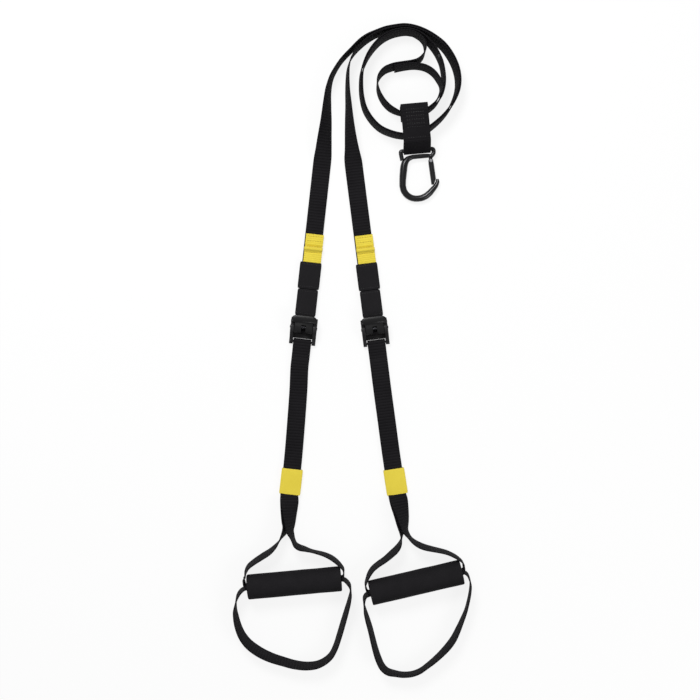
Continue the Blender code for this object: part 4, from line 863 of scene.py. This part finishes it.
def eased(start, end, half, tops, pinch):
    """Stations of a sleeve that is pinched in a little at its two rims."""
    stations = []
    for i in range(SLEEVE_STATIONS + 1):
        t = i / SLEEVE_STATIONS
        rim = min(t, 1 - t) * (end - start)
        drawn = pinch * max(0.0, 1.0 - rim / PINCH_LENGTH) ** 2
        top = tops[0] + (tops[1] - tops[0]) * t
        stations.append((start + (end - start) * t, half - drawn, FLOOR_GAP + drawn * PINCH_UNDER,
                         top - drawn * PINCH_TOP))
    return stations


sleeve_cloth = woven("sleeve_cloth", BLACK_GROOVE_SHADE, BLACK_THREAD, rib=SLEEVE_RIB, warp=WARP_PITCH,
                     depth=0.00018, roughness=0.7, sheen=0.0, gloss=0.1)
tail_top = tail_z + WEB_T / 2 + SEAT_GAP + WALL_CLOTH
keeper_top = leg_z + WEB_T / 2 + SEAT_GAP * 2 + PULL_T + WALL_CLOTH + SEAT_GAP
for side, leg in LEGS.items():
    place = frame_at(leg)
    for name, node, body, start, end, width, tops in (
        ("sleeve_cloth", "buckle_sleeve", "handle", SLEEVE_START, SLEEVE_END, SLEEVE_W,
         (tail_top, keeper_top)),
        ("keeper_cloth", "tab_keeper", "adjuster", SLEEVE_END + KEEPER_GAP, KEEPER_END, KEEPER_W,
         (keeper_top, keeper_top)),
    ):
        stations = eased(start, end, width / 2, tops, SLEEVE_PINCH)
        cloth = tube(side + "_" + name, place, stations, WALL_CLOTH, sleeve_cloth)
        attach(cloth, side + "_" + body)
        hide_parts(side + "_" + node)
        rows = []
        half = width / 2 - ROW_MARGIN
        for at in (start + ROW_INSET, end - ROW_INSET):
            lift = tops[0] + (tops[1] - tops[0]) * (at - start) / (end - start)
            rows += stitch_line(place, (-half, at), (half, at), lift)
        sewn(side + "_" + name + "_stitches", rows, FINE_STITCH_R, black_thread, side + "_" + body)

# The adjusting tabs: yellow webbing folded over and sewn to the strap's free end, with a rolled
# ridge across it for the fingers.
YELLOW_THREAD = (0.88, 0.73, 0.07, 1.0)
# YELLOW_GROOVE_SHADE is the yellow darkened to paint shade into the weave's low parts.
YELLOW_GROOVE_SHADE = (0.62, 0.47, 0.018, 1.0)
# STITCH_AND_GROOVE_SHADE: the tab's dark brown thread, darkened so the rows in the grooves also
# serve as painted shade.
STITCH_AND_GROOVE_SHADE = (0.50, 0.35, 0.02, 1.0)
PULL_W = 0.0254
PULL_END = 0.1378
PULL_ASIDE = 0.0014
RIDGE_AT = 0.1168
PULL_RIDGE = 0.0034
RIDGE_SIDES = (0.0048, 0.0026)
GROOVES = ((-0.0050, 0.0006, 0.0008), (0.0038, 0.0015, 0.0013))
PULL_STATIONS = 140
PULL_SPREAD = 0.25
PULL_CORNER = 0.0007
PULL_CORNER_SHARE = 0.4
PULL_RIB = 0.0028
PULL_ROWS = (0.0030, 0.0100)
PULL_MARGIN = 0.0020
yellow_webbing = woven("yellow_webbing", YELLOW_GROOVE_SHADE, YELLOW_THREAD, rib=PULL_RIB, warp=WARP_PITCH,
                       depth=0.0004, roughness=0.62, sheen=0.2, gloss=0.3)
tab_thread_and_groove_shade = thread_finish("tab_thread_and_groove_shade", STITCH_AND_GROOVE_SHADE, roughness=0.6)
pull_low = leg_z + WEB_T / 2 + SEAT_GAP
for side, leg in LEGS.items():
    place = frame_at(leg) @ Matrix.Translation((PULL_ASIDE, 0.0, 0.0))
    start, end = KEEPER_END - TUCK, PULL_END
    bm = bmesh.new()
    weave = bm.loops.layers.uv.new("weave")
    rings = []
    for i in range(PULL_STATIONS + 1):
        y = start + (end - start) * i / PULL_STATIONS
        off = y - RIDGE_AT
        share = min(1.0, abs(off) / RIDGE_SIDES[off > 0])
        bump = PULL_RIDGE * (math.sqrt(1.0 - share ** 2) if off > 0
                             else 0.5 + 0.5 * math.cos(math.pi * share))
        bump -= sum(deep * math.exp(-((off - at) / half) ** 2) for at, deep, half in GROOVES)
        thick = PULL_T + bump
        corner = min(PULL_CORNER, thick * PULL_CORNER_SHARE)
        outline = section(PULL_W + bump * PULL_SPREAD, thick, corner)
        rings.append([(bm.verts.new(place @ Vector((a, y, pull_low + thick / 2 + f))), (y, a))
                      for a, f in outline])
    for low, high in zip(rings, rings[1:]):
        for k in range(len(low)):
            n = (k + 1) % len(low)
            mapped_face(bm, weave, (low[k], low[n], high[n], high[k]))
    for ring in (rings[0], rings[-1]):
        mapped_face(bm, weave, ring)
    pull = finished(bm, side + "_yellow_tab", yellow_webbing, SLEEVE_SHARP_FROM)
    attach(pull, side + "_adjuster")
    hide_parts(side + "_adjust_tab")
    rows = []
    half = PULL_W / 2 - PULL_MARGIN
    depths = [(PULL_END - at, 0.0) for at in PULL_ROWS]
    # The rows in both grooves are real stitching whose dark thread also paints the shade along the
    # grooves.
    for at, sunk in depths + [(RIDGE_AT + at, deep) for at, deep, _ in GROOVES]:
        rows += stitch_line(place, (-half, at), (half, at), pull_low + PULL_T - sunk)
    sewn(side + "_yellow_tab_stitches", rows, FINE_STITCH_R, tab_thread_and_groove_shade, side + "_adjuster")

# The handle straps: one webbing, folded round the buckle's rear bar and sewn, that runs down as two
# layers, parts into two arms and goes in at the two ends of the grip. It is shown as two cords that
# meet in the grip's tube.
GRIPS = {"left": (-0.0824, -0.3256, 5.25), "right": (0.0887, -0.3251, 13.1)}
GRIP_LENGTH = 0.1320
GRIP_R = 0.0175
PAIR_START = 0.0400
PAIR_LEAD = 0.0120
FOLD_LAP = 0.0060
STRAP_ASIDE = 0.0013
TUBE_INSET = 0.0010
TUBE_LEAD = 0.0030
REAR_BAR_R = 0.0017
REAR_BAR_Y = -0.0155
FOLD_SLACK = 0.0006
ARM_ENTRY = [(0.0043, 0.0124, 0.83), (0.0043, 0.0070, 0.94), (0.0035, 0.0030, 1.0)]
PAIRS = {
    "left": [
        (-0.0773, -0.0552), (-0.0803, -0.0978), (-0.0837, -0.1404), (-0.0857, -0.1617),
        (-0.0881, -0.1844), (-0.0901, -0.2043), (-0.0904, -0.2101), (-0.0909, -0.2185),
        (-0.0913, -0.2251), (-0.0916, -0.2313), (-0.0918, -0.2408), (-0.0919, -0.2471),
    ],
    "right": [
        (0.0417, -0.0552), (0.0475, -0.0978), (0.0532, -0.1404), (0.0563, -0.1617),
        (0.0598, -0.1844), (0.0629, -0.2043), (0.0638, -0.2101), (0.0651, -0.2185),
        (0.0663, -0.2251), (0.0673, -0.2313), (0.0686, -0.2408), (0.0694, -0.2471),
    ],
}
PAIR_TWIST = [(90, 0.0015)] * 6 + [(74, 0.0013), (59, 0.0008), (49, 0.0004), (42,), (33,), (27,)]
ARMS = {
    "left": {
        "west": [
            (-0.0956, -0.2541, 19), (-0.0990, -0.2603, 10), (-0.1028, -0.2662, 2),
            (-0.1082, -0.2739, -5), (-0.1169, -0.2824, -11), (-0.1282, -0.2897, -12),
            (-0.1395, -0.2972, -10), (-0.1472, -0.3035, -9, 0.0008), (-0.1509, -0.3103, -8, 0.0020),
            (-0.1525, -0.3189, -5, 0.0034),
        ],
        "east": [
            (-0.0882, -0.2541, 19), (-0.0861, -0.2603, 10), (-0.0841, -0.2662, 3),
            (-0.0813, -0.2727, 7), (-0.0760, -0.2765, 11), (-0.0676, -0.2789, 6),
            (-0.0591, -0.2814, -2), (-0.0436, -0.2855, 2), (-0.0366, -0.2880, 4),
            (-0.0295, -0.2916, 6, 0.0008), (-0.0228, -0.2966, 6, 0.0020),
            (-0.0170, -0.3022, 3, 0.0034),
        ],
    },
    "right": {
        "west": [
            (0.0690, -0.2541, 18), (0.0689, -0.2607, 8), (0.0677, -0.2676, -2),
            (0.0652, -0.2739, -9), (0.0607, -0.2800, -13), (0.0536, -0.2866, -12),
            (0.0452, -0.2937, -9), (0.0360, -0.3000, -8), (0.0282, -0.3064, -8, 0.0008),
            (0.0238, -0.3124, -8, 0.0020), (0.0208, -0.3185, -5, 0.0034),
        ],
        "east": [
            (0.0748, -0.2541, 16), (0.0784, -0.2602, 6), (0.0821, -0.2653, 5), (0.0867, -0.2693, 9),
            (0.0931, -0.2732, 11), (0.1015, -0.2765, 10), (0.1114, -0.2789, 7),
            (0.1227, -0.2813, 5), (0.1325, -0.2838, 4, 0.0008), (0.1410, -0.2874, 4, 0.0020),
            (0.1487, -0.2920, 3, 0.0034),
        ],
    },
}


def on_grip(side, along, across, lift):
    """A point of a side's grip, along its tube and across it, as a route's point."""
    x, y, turn = GRIPS[side]
    turn = math.radians(turn)
    return (x + along * math.cos(turn) - across * math.sin(turn),
            y + along * math.sin(turn) + across * math.cos(turn), 0.0, lift)


in_tube = GRIP_R - WEB_W / 2
half_grip = GRIP_LENGTH / 2
entry = [(half_grip + beyond, across, share * in_tube) for beyond, across, share in ARM_ENTRY]
entry += [(half_grip - TUBE_INSET, STRAP_ASIDE, in_tube), (half_grip / 2, STRAP_ASIDE, in_tube)]
bar_wrap = REAR_BAR_R + WRAP_GAP + WEB_T / 2
bar_z = FLOOR_GAP + WEB_T / 2 + bar_wrap
for side, leg in LEGS.items():
    pair = [(*on_leg(side, -s), 90.0, FLAT_LIFT) for s in (PAIR_START, PAIR_START + PAIR_LEAD)]
    pair += filled([at + twist for at, twist in zip(PAIRS[side], PAIR_TWIST)])
    ends = {
        "upper": shifted(pair, PITCH / 2, TWIST_GAP) + filled(ARMS[side]["east"])
        + [on_grip(side, a, c, rise) for a, c, rise in entry],
        "lower": shifted(pair, -PITCH / 2) + filled(ARMS[side]["west"])
        + [on_grip(side, -a, c, rise) for a, c, rise in entry],
    }
    for layer, route in ends.items():
        arm, line = strap("%s_handle_strap_%s" % (side, layer), smooth_route(route), black_webbing)
        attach(arm, side + "_handle")
        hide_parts(side + "_handle_strap")
    high_z = leg_z + PITCH
    fold = rounded(
        [(-PAIR_START, leg_z), (-PAIR_START + FOLD_LAP, leg_z),
         (REAR_BAR_Y - bar_wrap * 2, bar_z - bar_wrap), (REAR_BAR_Y, bar_z - bar_wrap)],
        STRAP_BEND,
    )[:-1]
    fold += [Vector(p) for p in arc((REAR_BAR_Y + FOLD_SLACK, bar_z), bar_wrap, -90.0, 90.0)]
    fold += rounded(
        [(REAR_BAR_Y, bar_z + bar_wrap), (REAR_BAR_Y - bar_wrap * 2, bar_z + bar_wrap),
         (-PAIR_START + FOLD_LAP, high_z), (-PAIR_START, high_z)],
        STRAP_BEND,
    )[1:]
    wrap = folded(side + "_bar_fold", stepped(fold), WEB_W, WEB_T, frame_at(leg), black_webbing)
    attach(wrap, side + "_handle")
    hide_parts(side + "_handle_strap")

# The labels: a yellow woven band round both layers of each handle strap, closed on itself. Its two
# ends are drawn in a little.
LABELS = {"left": (-0.0877, -0.1848, -6.4), "right": (0.0603, -0.1847, 8.8)}
LABEL_LENGTH = 0.0360
LABEL_W = 0.0300
LABEL_WALL = 0.0010
LABEL_PINCH = 0.0004
label_cloth = woven("yellow_label", YELLOW_GROOVE_SHADE, YELLOW_THREAD, rib=0.0008, warp=0.0007,
                    depth=0.0001, roughness=0.55, sheen=0.15, gloss=0.35)
label_top = FLAT_LIFT + PITCH + WEB_T + SEAT_GAP + LABEL_WALL
for side, spot in LABELS.items():
    place = frame_at(spot)
    half = LABEL_LENGTH / 2
    stations = eased(-half, half, LABEL_W / 2, (label_top, label_top), LABEL_PINCH)
    label = tube(side + "_label_band", place, stations, LABEL_WALL, label_cloth)
    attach(label, side + "_handle")
    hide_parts(side + "_label")

# The foot loops: a webbing that hangs from each grip as a stirrup for the foot. Its two ends meet
# in the grip's tube, beside the handle strap.
FOOT_LOOPS = {
    "left": [
        (-0.1553, -0.3357, -6, 0.0045), (-0.1592, -0.3395, -9, 0.0038),
        (-0.1630, -0.3458, -8, 0.0028), (-0.1651, -0.3536, -3, 0.0016),
        (-0.1663, -0.3648, 5, 0.0006), (-0.1648, -0.3761, 10), (-0.1616, -0.3888, 13),
        (-0.1564, -0.4008, 15), (-0.1486, -0.4114, 17), (-0.1395, -0.4191, 18),
        (-0.1282, -0.4262, 18), (-0.1141, -0.4325, 16), (-0.0986, -0.4374, 14),
        (-0.0831, -0.4417, 13), (-0.0662, -0.4438, 11), (-0.0507, -0.4421, 10),
        (-0.0394, -0.4367, 9), (-0.0309, -0.4290, 10), (-0.0246, -0.4170, 12),
        (-0.0190, -0.4001, 13), (-0.0140, -0.3832, 13), (-0.0091, -0.3663, 11, 0.0006),
        (-0.0049, -0.3507, 8, 0.0016), (-0.0030, -0.3395, 3, 0.0028),
        (-0.0042, -0.3303, -4, 0.0038), (-0.0084, -0.3243, -6, 0.0045),
    ],
    "right": [
        (0.0191, -0.3430, -6, 0.0044), (0.0160, -0.3479, -8, 0.0034), (0.0153, -0.3550, -2, 0.0022),
        (0.0167, -0.3648, 6, 0.0010), (0.0198, -0.3761, 11), (0.0240, -0.3902, 13),
        (0.0282, -0.4071, 14), (0.0318, -0.4212, 15), (0.0360, -0.4339, 16), (0.0416, -0.4452, 14),
        (0.0487, -0.4515, 9), (0.0593, -0.4543, 4), (0.0705, -0.4560, 2), (0.0832, -0.4550, 1),
        (0.0945, -0.4508, 1), (0.1044, -0.4438, 1), (0.1142, -0.4360, 4), (0.1241, -0.4269, 6),
        (0.1340, -0.4163, 9), (0.1417, -0.4057, 9), (0.1480, -0.3930, 7), (0.1537, -0.3796, 3),
        (0.1586, -0.3670, 0, 0.0006), (0.1621, -0.3536, -1, 0.0014), (0.1647, -0.3395, -1, 0.0024),
        (0.1654, -0.3268, -2, 0.0034), (0.1633, -0.3190, -5, 0.0042), (0.1608, -0.3140, -6, 0.0046),
    ],
}
FOOT_TUCK = 0.0260
loop_ends = [
    (half_grip + beyond, -STRAP_ASIDE, in_tube) for beyond in (-FOOT_TUCK, -TUBE_INSET, TUBE_LEAD)
]
for side, points in FOOT_LOOPS.items():
    out = [on_grip(side, -a, c, rise) for a, c, rise in loop_ends]
    home = [on_grip(side, a, c, rise) for a, c, rise in reversed(loop_ends)]
    route = smooth_route(out + filled(points) + home)
    loop, line = strap(side + "_foot_strap", route, black_webbing)
    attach(loop, side + "_handle")
    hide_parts(side + "_foot_loop")

# The grips: closed-cell foam pulled over a plastic tube. The foam is cut square with a softened
# rim, and is nowhere quite straight.
FOAM_COLOUR = (0.006, 0.0055, 0.0065, 1.0)
FOAM_PALE = (0.017, 0.016, 0.018, 1.0)
FOAM_ROUGHNESS = 0.85
FOAM_GLOSS = 0.12
PATCHES = (60.0, 0.5)
# CELLS: the cells' scale, and how strongly painted shade darkens their pits.
CELLS = (1400.0, 0.4)
CELL_DEPTH = 0.00015
TUBE_COLOUR = (0.02, 0.02, 0.021, 1.0)
TUBE_PALE = (0.035, 0.035, 0.036, 1.0)
TUBE_R = 0.0152
GRIP_FACETS = 96
FOAM_STATIONS = 60
FOAM_ROUND = 0.0018
ROUND_SHARE = 0.9
ROUND_STEPS = 6
FOAM_SWELL = 0.00025
SWELL_GRAIN = 45.0
SWELL_LEVEL = 0.35
UNDERSIDE = -0.9
UNDERSIDE_SHARE = 0.35


def foam(name):
    """Fine closed-cell foam, with painted shade in the pits of its cells."""
    mat, tree, shader = new_finish(name)
    shader.inputs["Roughness"].default_value = FOAM_ROUGHNESS
    shader.inputs["Specular IOR Level"].default_value = FOAM_GLOSS
    place = tree.nodes.new("ShaderNodeTexCoord")
    cells = tree.nodes.new("ShaderNodeTexVoronoi")
    cells.inputs["Scale"].default_value = CELLS[0]
    tree.links.new(place.outputs["Object"], cells.inputs["Vector"])
    depths = cells.outputs["Distance"]
    # The colour darkens towards each cell's middle, where the bump sinks: painted shade in the
    # pits, added to random patches of tone.
    tone_and_shade = maths(tree, "ADD", maths(tree, "MULTIPLY", speckle(tree, PATCHES[0]), PATCHES[1]),
                 maths(tree, "MULTIPLY", depths, CELLS[1]))
    tree.links.new(between(tree, tone_and_shade, FOAM_COLOUR, FOAM_PALE), shader.inputs["Base Color"])
    embossed(tree, shader, depths, strength=0.6, depth=CELL_DEPTH)
    return mat


grip_foam = foam("black_foam")
tube_plastic = metal("black_tube_plastic", TUBE_COLOUR, TUBE_PALE, roughness=0.5, metallic=0.0,
                     grain=1200.0, depth=0.00003)
for side, spot in GRIPS.items():
    place = Matrix.Translation((0.0, 0.0, GRIP_R)) @ frame_at(spot)
    end, inner, drop = half_grip, TUBE_R + SEAT_GAP, FOAM_ROUND * ROUND_SHARE
    rim = [(end, inner), (end, GRIP_R - drop)]
    rim += [(end - FOAM_ROUND * (1 - math.cos(a)), GRIP_R - drop * (1 - math.sin(a)))
            for a in (math.pi / 2 * k / ROUND_STEPS for k in range(1, ROUND_STEPS + 1))]
    straight = end - FOAM_ROUND
    middle = [(straight - 2 * straight * k / FOAM_STATIONS, GRIP_R)
              for k in range(1, FOAM_STATIONS)]
    profile = rim + middle + [(-x, r) for x, r in reversed(rim)]
    bm = bmesh.new()
    rings = []
    for along, radius in profile:
        ring = []
        for k in range(GRIP_FACETS):
            a = 2 * math.pi * k / GRIP_FACETS
            out = Vector((along, math.cos(a) * radius, math.sin(a) * radius))
            if radius > inner:
                swell = min(0.0, noise.noise(out * SWELL_GRAIN) - SWELL_LEVEL) * FOAM_SWELL
                share = UNDERSIDE_SHARE if math.sin(a) < UNDERSIDE else 1.0
                out.yz *= 1.0 + swell * share / radius
            ring.append(bm.verts.new(place @ out))
        rings.append(ring)
    for low, high in zip(rings, rings[1:] + rings[:1]):
        for k in range(GRIP_FACETS):
            n = (k + 1) % GRIP_FACETS
            bm.faces.new((low[k], low[n], high[n], high[k]))
    sleeve = finished(bm, side + "_foam_sleeve", grip_foam, SHARP_FROM)
    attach(sleeve, side + "_grip")
    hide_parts(side + "_grip_foam")
    smoothed(side + "_grip_tube", side + "_grip", tube_plastic)

low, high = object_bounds()
